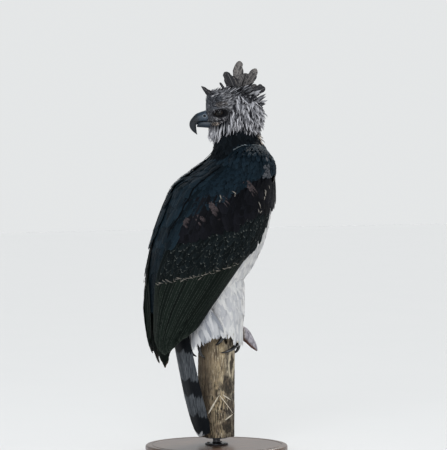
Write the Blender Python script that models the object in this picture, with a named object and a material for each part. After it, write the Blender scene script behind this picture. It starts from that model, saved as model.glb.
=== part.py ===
"""A harpy eagle on a cut length of trunk, life size, as a still model on a plain display stand.

The bird's own frame is the model's frame: X runs forward from its back to its breast, Y to its
left and Z up. The origin is the middle of the stand's underside. The body faces +X and the
head is turned over the left shoulder until it looks almost backward.
"""

import math
import random

import bmesh
import bpy
import numpy as np
from mathutils import Matrix, Vector

GAP = 0.0003
RIGHT, LEFT = -1, 1

# Stand
BASE_RADIUS = 0.185
BASE_THICKNESS = 0.022
BASE_EDGE = 0.004
ROD_RADIUS = 0.010
FLANGE_RADIUS = 0.030
FLANGE_THICKNESS = 0.004

# Perch: the trunk, its broken stub, the rotten hollow at its top and the long scar on its side
PERCH_BOTTOM = 0.044
PERCH_TOP = 0.313
PERCH_RADIUS = 0.0475
PERCH_RIDGE = 0.0012
PERCH_CROWN = 0.002
STUB_BEARING = -30
STUB_PATH = ((0.022, 0.306), (0.050, 0.300), (0.072, 0.292), (0.090, 0.280), (0.104, 0.266))
STUB_RADII = (0.0110, 0.0130, 0.0120, 0.0105, 0.0085)
HOLLOW_BEARING = -88
HOLLOW_HEIGHT = 0.306
HOLLOW_RADII = (0.009, 0.009, 0.017)
SCAR_BEARING = -57
SCAR_HEIGHT = 0.222
SCAR_RADII = (0.0045, 0.0085, 0.0460)

# Plumage outline of body and folded wings: height, centre X, half depth, half width
OUTLINE = (
    (0.232, -0.146, 0.032, 0.040),
    (0.300, -0.125, 0.075, 0.070),
    (0.386, -0.105, 0.105, 0.095),
    (0.448, -0.075, 0.125, 0.115),
    (0.532, -0.031, 0.148, 0.135),
    (0.625, 0.0015, 0.146, 0.136),
    (0.663, 0.0135, 0.140, 0.132),
    (0.697, 0.024, 0.130, 0.124),
    (0.737, 0.052, 0.100, 0.112),
    (0.771, 0.070, 0.075, 0.088),
    (0.800, 0.070, 0.060, 0.070),
)

# The torso alone, in the same terms
TORSO = (
    (0.345, -0.092, 0.020, 0.022),
    (0.356, -0.092, 0.044, 0.044),
    (0.390, -0.078, 0.072, 0.071),
    (0.448, -0.050, 0.115, 0.093),
    (0.532, -0.021, 0.143, 0.112),
    (0.625, 0.0075, 0.1425, 0.117),
    (0.700, 0.031, 0.125, 0.113),
    (0.745, 0.059, 0.096, 0.097),
    (0.772, 0.071, 0.075, 0.080),
    (0.786, 0.072, 0.068, 0.070),
)
TORSO_RINGS = (0.345, 0.356, 0.39, 0.44, 0.50, 0.56, 0.62, 0.67, 0.71, 0.745, 0.772, 0.786)

# The lines that the folded wing's feathers follow: height, angle from straight ahead in degrees
WING_FRONT = (
    (0.232, 112),
    (0.286, 97),
    (0.320, 82),
    (0.360, 69),
    (0.400, 62),
    (0.440, 62),
    (0.488, 63),
    (0.530, 60),
    (0.600, 50),
    (0.660, 43),
    (0.700, 41),
    (0.780, 40),
)
WING_BACK = (
    (0.232, 160),
    (0.300, 168),
    (0.350, 168),
    (0.450, 165),
    (0.550, 158),
    (0.660, 154),
    (0.740, 146),
    (0.790, 135),
)
# How far past the front line the shoulder's plumage reaches, as a share of the wing's breadth
WING_BREAST = (
    (0.400, 0.00),
    (0.520, 0.00),
    (0.560, 0.06),
    (0.610, 0.14),
    (0.680, 0.12),
    (0.780, 0.00),
)

# Wing core: height, depth of its outer face and of its inner face below the outline
WING_CORE = (
    (0.405, 0.0120, 0.0170),
    (0.440, 0.0120, 0.0210),
    (0.500, 0.0120, 0.0300),
    (0.600, 0.0120, 0.0340),
    (0.650, 0.0095, 0.0340),
    (0.700, 0.0080, 0.0340),
    (0.785, 0.0060, 0.0280),
)
WING_CORE_RINGS = (0.405, 0.47, 0.54, 0.60, 0.65, 0.71, 0.785)
SHOULDER = Vector((0.060, 0.077, 0.737))
SHOULDER_RADII = (0.066, 0.042, 0.064)
VANE_HALF_THICKNESS = 0.0007
VANE_UNDERSIDE = 0.7

# Tiers of wing feathers: count, span across, heights of roots and tips at both ends of the
# span with the tips' middle height, depth below the outline, half width and lean in degrees
SECONDARIES = (7, (0.05, 0.92), (0.600, 0.600), (0.325, 0.268, 0.285), 0.0060, 0.0255, 11)
PRIMARIES = (3, (0.46, 0.82), (0.455, 0.455), (0.262, 0.238, 0.246), 0.0120, 0.015, 11)
GREATER_COVERTS = (6, (0.06, 0.90), (0.640, 0.660), (0.505, 0.462, 0.450), 0.0030, 0.0265, 11)
MEDIAN_COVERTS = (6, (0.00, 0.90), (0.735, 0.735), (0.655, 0.590, 0.560), 0.0002, 0.0260, 11)
LESSER_COVERTS = (5, (-0.06, 0.82), (0.785, 0.782), (0.700, 0.672, 0.655), -0.0022, 0.0215, 9)
SCAPULARS = (3, (0.90, 1.11), (0.720, 0.730), (0.600, 0.540, 0.505), -0.0022, 0.0210, 9)
UPPER_SCAPULARS = (2, (0.97, 1.12), (0.782, 0.782), (0.650, 0.640, 0.645), -0.0050, 0.0195, 8)
PRIMARY_STEP = 0.0010
WING_SEED = 300
LONG_VANE = ((0.0, 0.60), (0.30, 0.95), (0.62, 0.92), (0.86, 0.70), (0.970, 0.40))
SHORT_VANE = ((0.0, 0.70), (0.45, 1.0), (0.85, 0.78))

# Neck, in the same terms as the torso
NECK = (
    (0.768, 0.062, 0.070, 0.074),
    (0.790, 0.067, 0.066, 0.068),
    (0.815, 0.064, 0.060, 0.060),
    (0.842, 0.056, 0.053, 0.053),
    (0.862, 0.053, 0.036, 0.036),
)

# Head, in its own frame: X to the bill, Y to the bird's left cheek, Z to the crown
HEAD_PLACE = Vector((0.052, 0.004, 0.898))
HEAD_TURN = math.radians(154)
# Distance forward, middle height, half height, half width
HEAD_CORE = (
    (-0.062, -0.010, 0.012, 0.012),
    (-0.056, -0.009, 0.030, 0.030),
    (-0.040, -0.007, 0.046, 0.043),
    (-0.015, -0.005, 0.053, 0.050),
    (0.012, -0.004, 0.054, 0.049),
    (0.038, -0.003, 0.052, 0.045),
    (0.057, -0.002, 0.046, 0.037),
    (0.067, 0.002, 0.034, 0.027),
    (0.072, 0.004, 0.016, 0.014),
)
HEAD_RINGS = (-0.062, -0.056, -0.042, -0.024, -0.002, 0.018, 0.036, 0.048, 0.058, 0.067, 0.072)

# Eye, lids, socket and brow, in the head's frame
EYE_PLACE = Vector((0.036, 0.0308, -0.0130))
EYE_RADIUS = 0.0145
EYE_AIM = Vector((0.42, 0.90, 0.02)).normalized()
LID_THICKNESS = 0.0013
EYE_OPENING = (0.0128, 0.0050, 0.0072)
SOCKET_PLACE = Vector((0.038, 0.0482, -0.0140))
SOCKET_RADII = (0.0205, 0.0088, 0.0120)
BROW = ((0.064, 0.020, 0.003), (0.052, 0.0355, 0.0005), (0.037, 0.0450, 0.0008), (0.020, 0.0490, -0.001))
BROW_RADII = (0.0040, 0.0056, 0.0060, 0.0030)

# Upper bill in the head's frame: the ridge's point, the cutting edge's point and half the width
BILL_UPPER = (
    ((0.056, 0.002), (0.050, -0.0345), 0.0175),
    ((0.070, -0.005), (0.063, -0.0348), 0.0155),
    ((0.0848, -0.010), (0.0760, -0.0358), 0.0130),
    ((0.0965, -0.015), (0.0860, -0.0378), 0.0112),
    ((0.1045, -0.0226), (0.0925, -0.0410), 0.0094),
    ((0.1113, -0.0317), (0.0965, -0.0445), 0.0076),
    ((0.1139, -0.0408), (0.0990, -0.0495), 0.0062),
    ((0.1120, -0.0507), (0.0988, -0.0560), 0.0047),
    ((0.1060, -0.0595), (0.0970, -0.0620), 0.0030),
    ((0.0945, -0.0689), (0.0935, -0.0680), 0.0008),
)
BILL_LOWER = (
    ((0.052, -0.0355), (0.052, -0.0540), 0.0150),
    ((0.063, -0.0357), (0.063, -0.0530), 0.0132),
    ((0.076, -0.0368), (0.077, -0.0518), 0.0108),
    ((0.086, -0.0389), (0.087, -0.0508), 0.0084),
    ((0.0925, -0.0422), (0.0935, -0.0492), 0.0050),
)
BILL_FLATNESS = 0.5
NOSTRIL = Vector((0.0755, 0.0140, -0.0205))
NOSTRIL_RADII = (0.0014, 0.0030, 0.0034)

# The line of the mouth behind the bill: forward distance and height in the head's frame
MOUTH_LINE = ((0.068, -0.0352), (0.058, -0.0350), (0.048, -0.0344), (0.038, -0.0332))
MOUTH_RADII = (0.0013, 0.0013, 0.0012, 0.0007)

# Crest feathers in the head's frame: root, tip, half width, turn of the flat side in degrees
CREST = (
    ((-0.002, 0.008, 0.040), (0.0229, 0.012, 0.0933), 0.0092, 12),
    ((-0.018, 0.004, 0.044), (-0.0170, 0.006, 0.1235), 0.0128, -8),
    ((-0.030, 0.008, 0.042), (-0.0600, 0.014, 0.1020), 0.0115, 14),
    ((-0.044, 0.010, 0.034), (-0.0676, 0.018, 0.0600), 0.0075, -12),
    ((-0.048, 0.012, 0.028), (-0.0860, 0.020, 0.0520), 0.0068, 10),
    ((0.020, 0.012, 0.040), (0.0364, 0.016, 0.0680), 0.0035, 20),
    ((0.052, 0.006, 0.034), (0.0830, 0.009, 0.0577), 0.0062, -15),
    ((0.004, -0.010, 0.040), (0.0240, -0.026, 0.0820), 0.0095, -62),
    ((-0.012, -0.012, 0.042), (-0.0020, -0.034, 0.1040), 0.0120, -70),
    ((-0.026, -0.012, 0.042), (-0.0330, -0.034, 0.1080), 0.0120, -60),
    ((-0.036, -0.010, 0.038), (-0.0620, -0.030, 0.0860), 0.0100, -48),
    ((-0.046, -0.012, 0.030), (-0.0800, -0.026, 0.0560), 0.0072, -40),
)
CREST_SHAPE = ((0.0, 0.45), (0.35, 0.78), (0.66, 1.0), (0.90, 0.75))
CREST_HALF_THICKNESS = 0.0009

# Ruff rows: X of the roots, locks in the row, first and last angle from the crown, length
RUFF_ROWS = (
    (0.018, 6, 56, 142, 0.040),
    (-0.002, 6, 44, 148, 0.046),
    (-0.022, 5, 36, 150, 0.050),
    (-0.040, 4, 32, 148, 0.052),
    (-0.050, 2, 45, 130, 0.046),
)
THROAT_LOCKS = ((0.046, 0.009), (0.046, -0.009), (0.034, 0.022), (0.034, -0.022))
RUFF_LIE = Vector((-0.72, 0, -0.48))
RUFF_FLARE = 0.46
RUFF_SUNK = 0.010
RUFF_SEED = 11

# Flat tapered locks of loose plumage: share of the length, share of the width
LOCK_SHAPE = ((0.0, 0.75), (0.40, 1.0), (0.78, 0.58))
LOCK_HALF_WIDTH = 0.0085
LOCK_HALF_THICKNESS = 0.0012
VENT_LOCKS = 2
VENT_ROOT = Vector((-0.079, 0.030, 0.385))
VENT_LENGTH = 0.100

# The closed tail's middle line: height, X and Y
TAIL_PATH = (
    (0.048, -0.0610, -0.031),
    (0.0766, -0.0675, -0.0225),
    (0.126, -0.0795, -0.0150),
    (0.204, -0.0940, -0.006),
    (0.300, -0.1110, 0.001),
    (0.400, -0.1220, 0.000),
    (0.440, -0.1120, 0.000),
)
TAIL_HALF_WIDTH = 0.042
TAIL_CORE_HEIGHTS = (0.425, 0.390, 0.355, 0.325, 0.300)
TAIL_CORE_RADII = (0.020, 0.026, 0.028, 0.026, 0.017)
TAIL_CORE_FLATNESS = 0.36
TAIL_TWIST = math.radians(6)
TAIL_ROOT = 0.415
TAIL_TIP = 0.048
TAIL_VANE_HALF_WIDTH = 0.0172
# Feathers of one half of the tail, middle to edge: place across, depth of the left and right
TAIL_VANES = (
    (0.10, 0.0040, 0.0025),
    (0.30, 0.0010, -0.0005),
    (0.48, -0.0020, -0.0020),
    (0.62, -0.0035, -0.0035),
)
TAIL_SHAPE = (
    (0.0, 0.60),
    (0.22, 0.85),
    (0.45, 1.0),
    (0.68, 1.0),
    (0.86, 0.96),
    (0.975, 0.60),
)

# Thigh plumage: height, centre X, centre Y away from the middle, half depth, half width
THIGH = (
    (0.336, 0.003, 0.0475, 0.042, 0.041),
    (0.360, 0.003, 0.0475, 0.045, 0.045),
    (0.400, 0.001, 0.0460, 0.050, 0.042),
    (0.440, 0.000, 0.0440, 0.054, 0.037),
    (0.475, -0.006, 0.0430, 0.052, 0.036),
)
HEM_LOCKS = 9
HEM_SPAN = (-5, 190)
HEM_ROOT = 0.366
HEM_TIP = 0.304
HEM_HALF_WIDTH = 0.0135

# Feet: the palm's middle for the left foot, and the toes that reach over the trunk's edge
PALM = Vector((-0.005, 0.027, 0.334))
TARSUS_RADIUS = 0.0130
TOE_RADIUS = 0.0104
TOE_SCUTE = 0.0010
TOE_LINE = 0.0615

TARSUS_RISE = ((0, 0, 0), (-0.001, 0.003, 0.018), (-0.004, 0.008, 0.046))
TOE_BEND = ((0.005, -0.003), (0.001, -0.010))
# Each toe: its digit, its bearing, and its end's height
TOES = {
    RIGHT: ((1, -165, 0.300), (2, -2, 0.292), (3, -61, 0.288), (4, -104, 0.312)),
    LEFT: ((1, 160, 0.300), (2, 24, 0.290), (3, 50, 0.284), (4, 88, 0.304)),
}
SIDE_NAMES = {RIGHT: "right", LEFT: "left"}

# Each claw: how far it drops, how far it swings round the trunk in degrees, and its reach out
CLAW_RADIUS = 0.0062
CLAWS = {
    RIGHT: {1: (0.050, 12, 0.012), 2: (0.036, 6, 0.010), 3: (0.024, -49, 0.008), 4: (0.024, -20, 0.007)},
    LEFT: {1: (0.050, -12, 0.012), 2: (0.036, -6, 0.010), 3: (0.034, 6, 0.010), 4: (0.030, 8, 0.008)},
}


def smooth_rows(rows):
    """Returns f(t): the other columns of a table at t, on a smooth curve through its rows."""
    stations = np.array([row[0] for row in rows], float)
    values = np.array([row[1:] for row in rows], float)
    slopes = np.gradient(values, stations, axis=0)

    def at(t):
        t = min(max(t, stations[0]), stations[-1])
        i = min(int(np.searchsorted(stations, t, side="right")) - 1, len(stations) - 2)
        span = stations[i + 1] - stations[i]
        s = (t - stations[i]) / span
        value = (
            values[i] * (2 * s**3 - 3 * s**2 + 1)
            + slopes[i] * span * (s**3 - 2 * s**2 + s)
            + values[i + 1] * (3 * s**2 - 2 * s**3)
            + slopes[i + 1] * span * (s**3 - s**2)
        )
        return [float(x) for x in value]

    return at


outline = smooth_rows(OUTLINE)
torso_rows = smooth_rows(TORSO)
neck_rows = smooth_rows(NECK)
head_rows = smooth_rows(HEAD_CORE)
wing_front = smooth_rows(WING_FRONT)
wing_back = smooth_rows(WING_BACK)
wing_breast = smooth_rows(WING_BREAST)
wing_core = smooth_rows(WING_CORE)
tail_rows = smooth_rows(TAIL_PATH)
thigh_rows = smooth_rows(THIGH)


def clear_scene():
    """Removes whatever the open file holds."""
    for old in list(bpy.data.objects):
        bpy.data.objects.remove(old)


def paint(name, colour, roughness, metallic=0.0):
    """A plain Principled material."""
    material = bpy.data.materials.get(name) or bpy.data.materials.new(name)
    material.use_nodes = True
    shader = material.node_tree.nodes["Principled BSDF"]
    shader.inputs["Base Color"].default_value = (*colour, 1.0)
    shader.inputs["Roughness"].default_value = roughness
    shader.inputs["Metallic"].default_value = metallic
    return material


def closed_object(name, points, faces):
    """A mesh object from points and faces, turned so that its faces point out."""
    mesh = bpy.data.meshes.new(name)
    mesh.from_pydata([tuple(p) for p in points], [], faces)
    work = bmesh.new()
    work.from_mesh(mesh)
    if work.calc_volume(signed=True) < 0:
        bmesh.ops.reverse_faces(work, faces=work.faces)
    bmesh.ops.triangulate(work, faces=[f for f in work.faces if len(f.verts) > 3])
    work.to_mesh(mesh)
    work.free()
    item = bpy.data.objects.new(name, mesh)
    bpy.context.scene.collection.objects.link(item)
    return item


def loft(name, rings):
    """A closed skin over rings of equal count, each end closed to its ring's middle."""
    count = len(rings[0])
    points = [p for ring in rings for p in ring]
    faces = []
    for r in range(len(rings) - 1):
        for k in range(count):
            a, b = r * count + k, r * count + (k + 1) % count
            faces.append((a, b, b + count, a + count))
    last = (len(rings) - 1) * count
    points += [sum(rings[0], Vector()) / count, sum(rings[-1], Vector()) / count]
    for k in range(count):
        faces.append(((k + 1) % count, k, len(points) - 2))
        faces.append((last + k, last + (k + 1) % count, len(points) - 1))
    return closed_object(name, points, faces)


def turned(name, profile, sides):
    """A solid of revolution about Z from (radius, height) pairs listed upward."""
    rings = []
    for radius, height in profile:
        turn = [2 * math.pi * k / sides for k in range(sides)]
        rings.append([Vector((radius * math.cos(a), radius * math.sin(a), height)) for a in turn])
    return loft(name, rings)


def ellipsoid(name, place, radii, spin=None, rings=7, sides=12):
    """A closed ellipsoid, its axes turned by the matrix spin."""
    spin = spin or Matrix.Identity(3)
    circles = []
    for r in range(1, rings + 1):
        polar = math.pi * r / (rings + 1)
        circle = []
        for k in range(sides):
            turn = 2 * math.pi * k / sides
            unit = (
                math.sin(polar) * math.cos(turn),
                math.sin(polar) * math.sin(turn),
                math.cos(polar),
            )
            circle.append(place + spin @ Vector([u * r_ for u, r_ in zip(unit, radii)]))
        circles.append(circle)
    count = sides
    points = [p for circle in circles for p in circle]
    faces = []
    for r in range(rings - 1):
        for k in range(count):
            a, b = r * count + k, r * count + (k + 1) % count
            faces.append((a, b, b + count, a + count))
    last = (rings - 1) * count
    points += [place + spin @ Vector((0, 0, radii[2])), place - spin @ Vector((0, 0, radii[2]))]
    for k in range(count):
        faces.append(((k + 1) % count, k, len(points) - 2))
        faces.append((last + k, last + (k + 1) % count, len(points) - 1))
    return closed_object(name, points, faces)


def sweep(name, path, radii, sides=8, flatten=1.0, up=Vector((0, 0, 1))):
    """A tube along path with a radius for each point; flatten thins it along its own up side."""
    rings = []
    side = None
    for i, point in enumerate(path):
        along = (path[min(i + 1, len(path) - 1)] - path[max(i - 1, 0)]).normalized()
        if side is None:
            side = along.cross(up).normalized()
        side = (side - along * side.dot(along)).normalized()
        lift = side.cross(along).normalized()
        ring = []
        for k in range(sides):
            turn = 2 * math.pi * k / sides
            ring.append(
                point
                + side * math.cos(turn) * radii[i]
                + lift * math.sin(turn) * radii[i] * flatten
            )
        rings.append(ring)
    return loft(name, rings)


def blade(name, stations, tip):
    """A tapered blade with a ridge along its outer face and a flat underside.

    Each station is its centre, the vector to its edge and the vector to its ridge. The quads of
    both faces are split alike, so a curved blade never crosses itself.
    """
    points = []
    for centre, side, lift in stations:
        points += [centre - side, centre + lift, centre + side]
    faces = [(0, 1, 2)]
    for s in range(len(stations) - 1):
        l0, t0, r0, l1, t1, r1 = range(3 * s, 3 * s + 6)
        faces += [(l0, l1, t0), (t0, l1, t1), (t0, t1, r1), (t0, r1, r0)]
        faces += [(l0, r0, l1), (r0, r1, l1)]
    points.append(tip)
    end = len(points) - 1
    l1, t1, r1 = range(end - 3, end)
    faces += [(t1, l1, end), (r1, t1, end), (l1, r1, end)]
    return closed_object(name, points, faces)


def vane(name, stations, tip):
    """A thin feather with a middle line on both faces, which are split alike and never cross.

    Each station is its centre, the vector to its edge and the vector to its shaft's ridge.
    """
    points = []
    for centre, side, lift in stations:
        points += [centre - side, centre + lift, centre + side, centre - lift * VANE_UNDERSIDE]
    faces = [(0, 1, 2, 3)]
    for s in range(len(stations) - 1):
        l0, t0, r0, b0, l1, t1, r1, b1 = range(4 * s, 4 * s + 8)
        for m0, m1, turn in ((t0, t1, 1), (b0, b1, -1)):
            halves = ((l0, l1, m0), (m0, l1, m1), (m0, m1, r1), (m0, r1, r0))
            faces += [half[::turn] for half in halves]
    points.append(tip)
    end = len(points) - 1
    l1, t1, r1, b1 = range(end - 4, end)
    faces += [(t1, l1, end), (r1, t1, end), (b1, r1, end), (l1, b1, end)]
    return closed_object(name, points, faces)


def shell_loft(name, outer_rows, inner_rows):
    """A curved plate between two grids of points, closed along its rim."""
    rows, count = len(outer_rows), len(outer_rows[0])
    points = [p for row in outer_rows for p in row] + [p for row in inner_rows for p in row]
    below = rows * count
    faces = []
    for r in range(rows - 1):
        for k in range(count - 1):
            a, b = r * count + k, r * count + k + 1
            c, d = b + count, a + count
            faces += [(a, b, c), (a, c, d)]
            faces += [(below + a, below + c, below + b), (below + a, below + d, below + c)]
        for a, d in ((r * count, (r + 1) * count), ((r + 2) * count - 1, (r + 1) * count - 1)):
            faces.append((a, d, below + d, below + a))
    last = (rows - 1) * count
    for k in range(count - 1):
        faces.append((k + 1, k, below + k, below + k + 1))
        faces.append((last + k, last + k + 1, below + last + k + 1, below + last + k))
    return closed_object(name, points, faces)


def evaluated_copy(item):
    """Replaces an object's mesh by the one that its modifiers make, and drops the modifiers."""
    graph = bpy.context.evaluated_depsgraph_get()
    graph.update()
    mesh = bpy.data.meshes.new_from_object(item.evaluated_get(graph))
    item.modifiers.clear()
    item.data = mesh


def boolean(item, others, operation, solver):
    """Joins other closed objects to item, or cuts them from it, and removes them."""
    group = bpy.data.collections.new("operands")
    bpy.context.scene.collection.children.link(group)
    for other in others:
        group.objects.link(other)
    step = item.modifiers.new("join", "BOOLEAN")
    step.operand_type = "COLLECTION"
    step.collection = group
    step.operation = operation
    step.solver = solver
    evaluated_copy(item)
    for other in others:
        bpy.data.objects.remove(other)
    bpy.data.collections.remove(group)


def keep_largest(item):
    """Keeps only the largest closed surface of a mesh."""
    work = bmesh.new()
    work.from_mesh(item.data)
    bmesh.ops.triangulate(work, faces=[f for f in work.faces if len(f.verts) > 3])
    work.verts.ensure_lookup_table()
    seen, shells = set(), []
    for start in work.verts:
        if start.index in seen:
            continue
        seen.add(start.index)
        shell, front = [], [start]
        while front:
            vert = front.pop()
            shell.append(vert)
            for edge in vert.link_edges:
                other = edge.other_vert(vert)
                if other.index not in seen:
                    seen.add(other.index)
                    front.append(other)
        faces = {f for v in shell for f in v.link_faces}
        volume = sum(
            f.verts[0].co.dot(f.verts[1].co.cross(f.verts[2].co)) / 6 for f in faces
        )
        shells.append((volume, shell))
    shells.sort(key=lambda entry: -entry[0])
    spare = [v for _, shell in shells[1:] for v in shell]
    bmesh.ops.delete(work, geom=spare, context="VERTS")
    work.to_mesh(item.data)
    work.free()


def fuse(name, pieces, cutters=(), material=None, solver="MANIFOLD"):
    """One closed solid from overlapping pieces, less the cutters."""
    whole = pieces[0]
    if len(pieces) > 1:
        boolean(whole, pieces[1:], "UNION", solver)
    if cutters:
        boolean(whole, list(cutters), "DIFFERENCE", solver)
    keep_largest(whole)
    whole.name = name
    whole.data.name = name
    whole.data.materials.clear()
    if material:
        whole.data.materials.append(material)
    whole.data.shade_smooth()
    whole.data.set_sharp_from_angle(angle=math.radians(40))
    return whole


def swollen(item, margin=GAP):
    """A copy of a closed object with its surface moved out by margin, for use as a cutter."""
    mesh = item.data.copy()
    work = bmesh.new()
    work.from_mesh(mesh)
    work.normal_update()
    moves = [v.normal * margin * v.calc_shell_factor() for v in work.verts]
    for vert, move in zip(work.verts, moves):
        vert.co += move
    work.to_mesh(mesh)
    work.free()
    copy = bpy.data.objects.new(item.name + "_cutter", mesh)
    bpy.context.scene.collection.objects.link(copy)
    return copy


def upright_loft(name, rows, stations, sides, grow=0.0):
    """A loft of level ellipses from a function of height giving centre X, half depth, half width."""
    rings = []
    for height in stations:
        x, depth, width = rows(height)
        ring = []
        for k in range(sides):
            turn = 2 * math.pi * k / sides
            across = (width + grow) * math.sin(turn)
            ring.append(Vector((x + (depth + grow) * math.cos(turn), across, height)))
        rings.append(ring)
    return loft(name, rings)


def spread(low, high, count):
    """Evenly spaced values from low to high."""
    return [low + (high - low) * i / (count - 1) for i in range(count)]


def wing_point(side, across, height, lift=0.0):
    """A point of the folded wing: across 0 is its front edge and 1 its back edge; lift is outward."""
    x, depth, width = outline(height)
    front, back = wing_front(height)[0], wing_back(height)[0]
    turn = math.radians(front + (back - front) * across)
    return Vector(
        (
            x + (depth + lift) * math.cos(turn),
            side * (width + lift) * math.sin(turn),
            height,
        )
    )


def head_to_body(point):
    """Carries a point of the head's own frame into the model's frame."""
    return HEAD_PLACE + Matrix.Rotation(HEAD_TURN, 3, "Z") @ Vector(point)


def perch_radius(turn, height):
    """The trunk's radius at a bearing and height, with its long ridges and slight bends."""
    ridges = math.sin(5 * turn + 9 * height) + 0.6 * math.sin(11 * turn - 14 * height)
    return PERCH_RADIUS + PERCH_RIDGE * ridges


def perch_point(turn_degrees, height, away=0.0):
    """A point on the trunk's side, or away from it."""
    turn = math.radians(turn_degrees)
    reach = perch_radius(turn, height) + away
    return Vector((reach * math.cos(turn), reach * math.sin(turn), height))


def mirrored(point, side):
    """A point given for the left side, on the given side."""
    return Vector((point[0], side * point[1], point[2]))


def lock(root, tip, bow, flat, half_width, half_thickness=LOCK_HALF_THICKNESS):
    """A flat tapered lock from root to tip, bowed along the vector bow, its flat side facing flat."""
    stations = []
    for part, width in LOCK_SHAPE:
        centre = root.lerp(tip, part) + bow * math.sin(math.pi * part)
        ahead = root.lerp(tip, part + 0.02) + bow * math.sin(math.pi * (part + 0.02))
        along = (ahead - centre).normalized()
        side = along.cross(flat).normalized()
        through = side.cross(along).normalized() * half_thickness
        stations.append((centre, side * half_width * width, through))
    return blade("lock", stations, tip)


def make_stand(wood, steel):
    """The flat base and the short rod with its flange under the trunk."""
    edge = BASE_EDGE
    base = turned(
        "stand_base",
        [
            (BASE_RADIUS - edge / 2, 0.0),
            (BASE_RADIUS, edge / 2),
            (BASE_RADIUS, BASE_THICKNESS - edge),
            (BASE_RADIUS - edge, BASE_THICKNESS),
        ],
        36,
    )
    fuse("stand_base", [base], material=wood)
    foot = BASE_THICKNESS + GAP
    top = PERCH_BOTTOM - GAP
    rod = turned(
        "stand_rod",
        [
            (FLANGE_RADIUS, foot),
            (FLANGE_RADIUS, foot + FLANGE_THICKNESS),
            (ROD_RADIUS, foot + FLANGE_THICKNESS),
            (ROD_RADIUS, top - FLANGE_THICKNESS),
            (FLANGE_RADIUS, top - FLANGE_THICKNESS),
            (FLANGE_RADIUS, top),
        ],
        20,
    )
    fuse("stand_rod", [rod], material=steel)


def make_perch(bark):
    """The cut length of dead trunk with its weathered stub."""
    sides, levels = 20, 9
    rings = []
    for height in spread(PERCH_BOTTOM, PERCH_TOP, levels):
        ring = []
        for k in range(sides):
            point = perch_point(360 * k / sides, height)
            if height > PERCH_TOP - 0.001:
                point.z += 0.0012 * math.sin(3 * 2 * math.pi * k / sides)
            ring.append(point)
        rings.append(ring)
    crown = [Vector((p.x * 0.82, p.y * 0.82, PERCH_TOP + PERCH_CROWN)) for p in rings[-1]]
    trunk = loft("trunk", rings + [crown])
    turn = math.radians(STUB_BEARING)
    out = Vector((math.cos(turn), math.sin(turn), 0))
    stub_path = [out * reach + Vector((0, 0, height)) for reach, height in STUB_PATH]
    stub = sweep("stub", stub_path, STUB_RADII, sides=8)
    hollow_place = perch_point(HOLLOW_BEARING, HOLLOW_HEIGHT)
    hollow = ellipsoid("hollow", hollow_place, HOLLOW_RADII, rings=4, sides=8)
    spin = Matrix.Rotation(math.radians(SCAR_BEARING), 3, "Z")
    scar_place = perch_point(SCAR_BEARING, SCAR_HEIGHT, 0.001)
    scar = ellipsoid("scar", scar_place, SCAR_RADII, spin, rings=5, sides=8)
    return fuse("stand_perch", [trunk, stub], [hollow, scar], material=bark)


def make_torso(plumage):
    """The trunk of the body, from the neck's root to the locks that hang at the vent."""
    pieces = [upright_loft("torso", torso_rows, TORSO_RINGS, 20)]
    for side in (LEFT, RIGHT):
        for rank in range(VENT_LOCKS):
            root = VENT_ROOT + Vector((-0.007 * rank, 0.006 * rank, 0))
            tip = root + Vector((0.002, 0.005, -VENT_LENGTH + 0.012 * rank))
            root, tip = mirrored(root, side), mirrored(tip, side)
            outward = Vector((-0.3, side, 0)).normalized()
            pieces.append(lock(root, tip, outward * 0.004, outward, LOCK_HALF_WIDTH * 1.3))
    return fuse("torso", pieces, material=plumage)


def neck_loft(name, grow=0.0):
    """The neck's plumage down into the shoulders."""
    return upright_loft(name, neck_rows, spread(0.768, 0.862, 5), 16, grow)


def make_neck(plumage, torso):
    """The neck between the shoulders and the ruff."""
    return fuse("neck", [neck_loft("neck")], [swollen(torso)], material=plumage)


def head_core_loft(name, grow=0.0):
    """The skull and close plumage of the head as a loft along its length."""
    rings = []
    for x in HEAD_RINGS:
        middle, tall, wide = head_rows(x)
        ring = []
        for k in range(16):
            turn = 2 * math.pi * k / 16
            local = Vector(
                (x, (wide + grow) * math.sin(turn), middle + (tall + grow) * math.cos(turn))
            )
            ring.append(head_to_body(local))
        rings.append(ring)
    return loft(name, rings)


def make_eyes(iris):
    """The two eyeballs."""
    for side, name in ((LEFT, "eye_left"), (RIGHT, "eye_right")):
        place = mirrored(EYE_PLACE, side)
        ball = ellipsoid(name, head_to_body(place), [EYE_RADIUS] * 3, rings=7, sides=14)
        fuse(name, [ball], material=iris)


def wing_vane(side, across, root, tip, depth, half_width, lean, shape):
    """One wing feather along a flow line, its back edge leaning under the next feather."""
    stations = []
    lean = math.radians(lean)
    sunk = 0.007
    for part, width in shape:
        height = root + (tip - root) * part
        lift = -depth - sunk * max(0.0, 1 - part / 0.3)
        centre = wing_point(side, across, height, lift)
        along = wing_point(side, across, height - 0.004, lift) - centre
        back = wing_point(side, across + 0.02, height, lift) - centre
        out = along.cross(back) * side
        out.normalize()
        back = (back - along * back.dot(along) / along.length_squared).normalized()
        across_vane = (back * math.cos(lean) - out * math.sin(lean)) * half_width * width
        through = (out * math.cos(lean) + back * math.sin(lean)) * VANE_HALF_THICKNESS
        stations.append((centre, across_vane, through))
    return vane("vane", stations, wing_point(side, across, tip, -depth))


def wing_tier(side, tier, shape, step=0.0):
    """A row of overlapping feathers across the folded wing."""
    count, (first, last), roots, tips, depth, half_width, lean = tier
    draw = random.Random(WING_SEED + side * count + round(depth * 1e4))
    vanes = []
    for i in range(count):
        part = i / (count - 1)
        root = roots[0] + (roots[1] - roots[0]) * part
        bend = 4 * part * (1 - part)
        ends = tips[0] + (tips[2] - tips[0]) * part
        tip = ends + (tips[1] - (tips[0] + tips[2]) / 2) * bend + draw.uniform(-0.004, 0.004)
        across = first + (last - first) * part
        vane_depth = depth + step * (count - 1 - i)
        vanes.append(wing_vane(side, across, root, tip, vane_depth, half_width, lean, shape))
    return vanes


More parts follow.
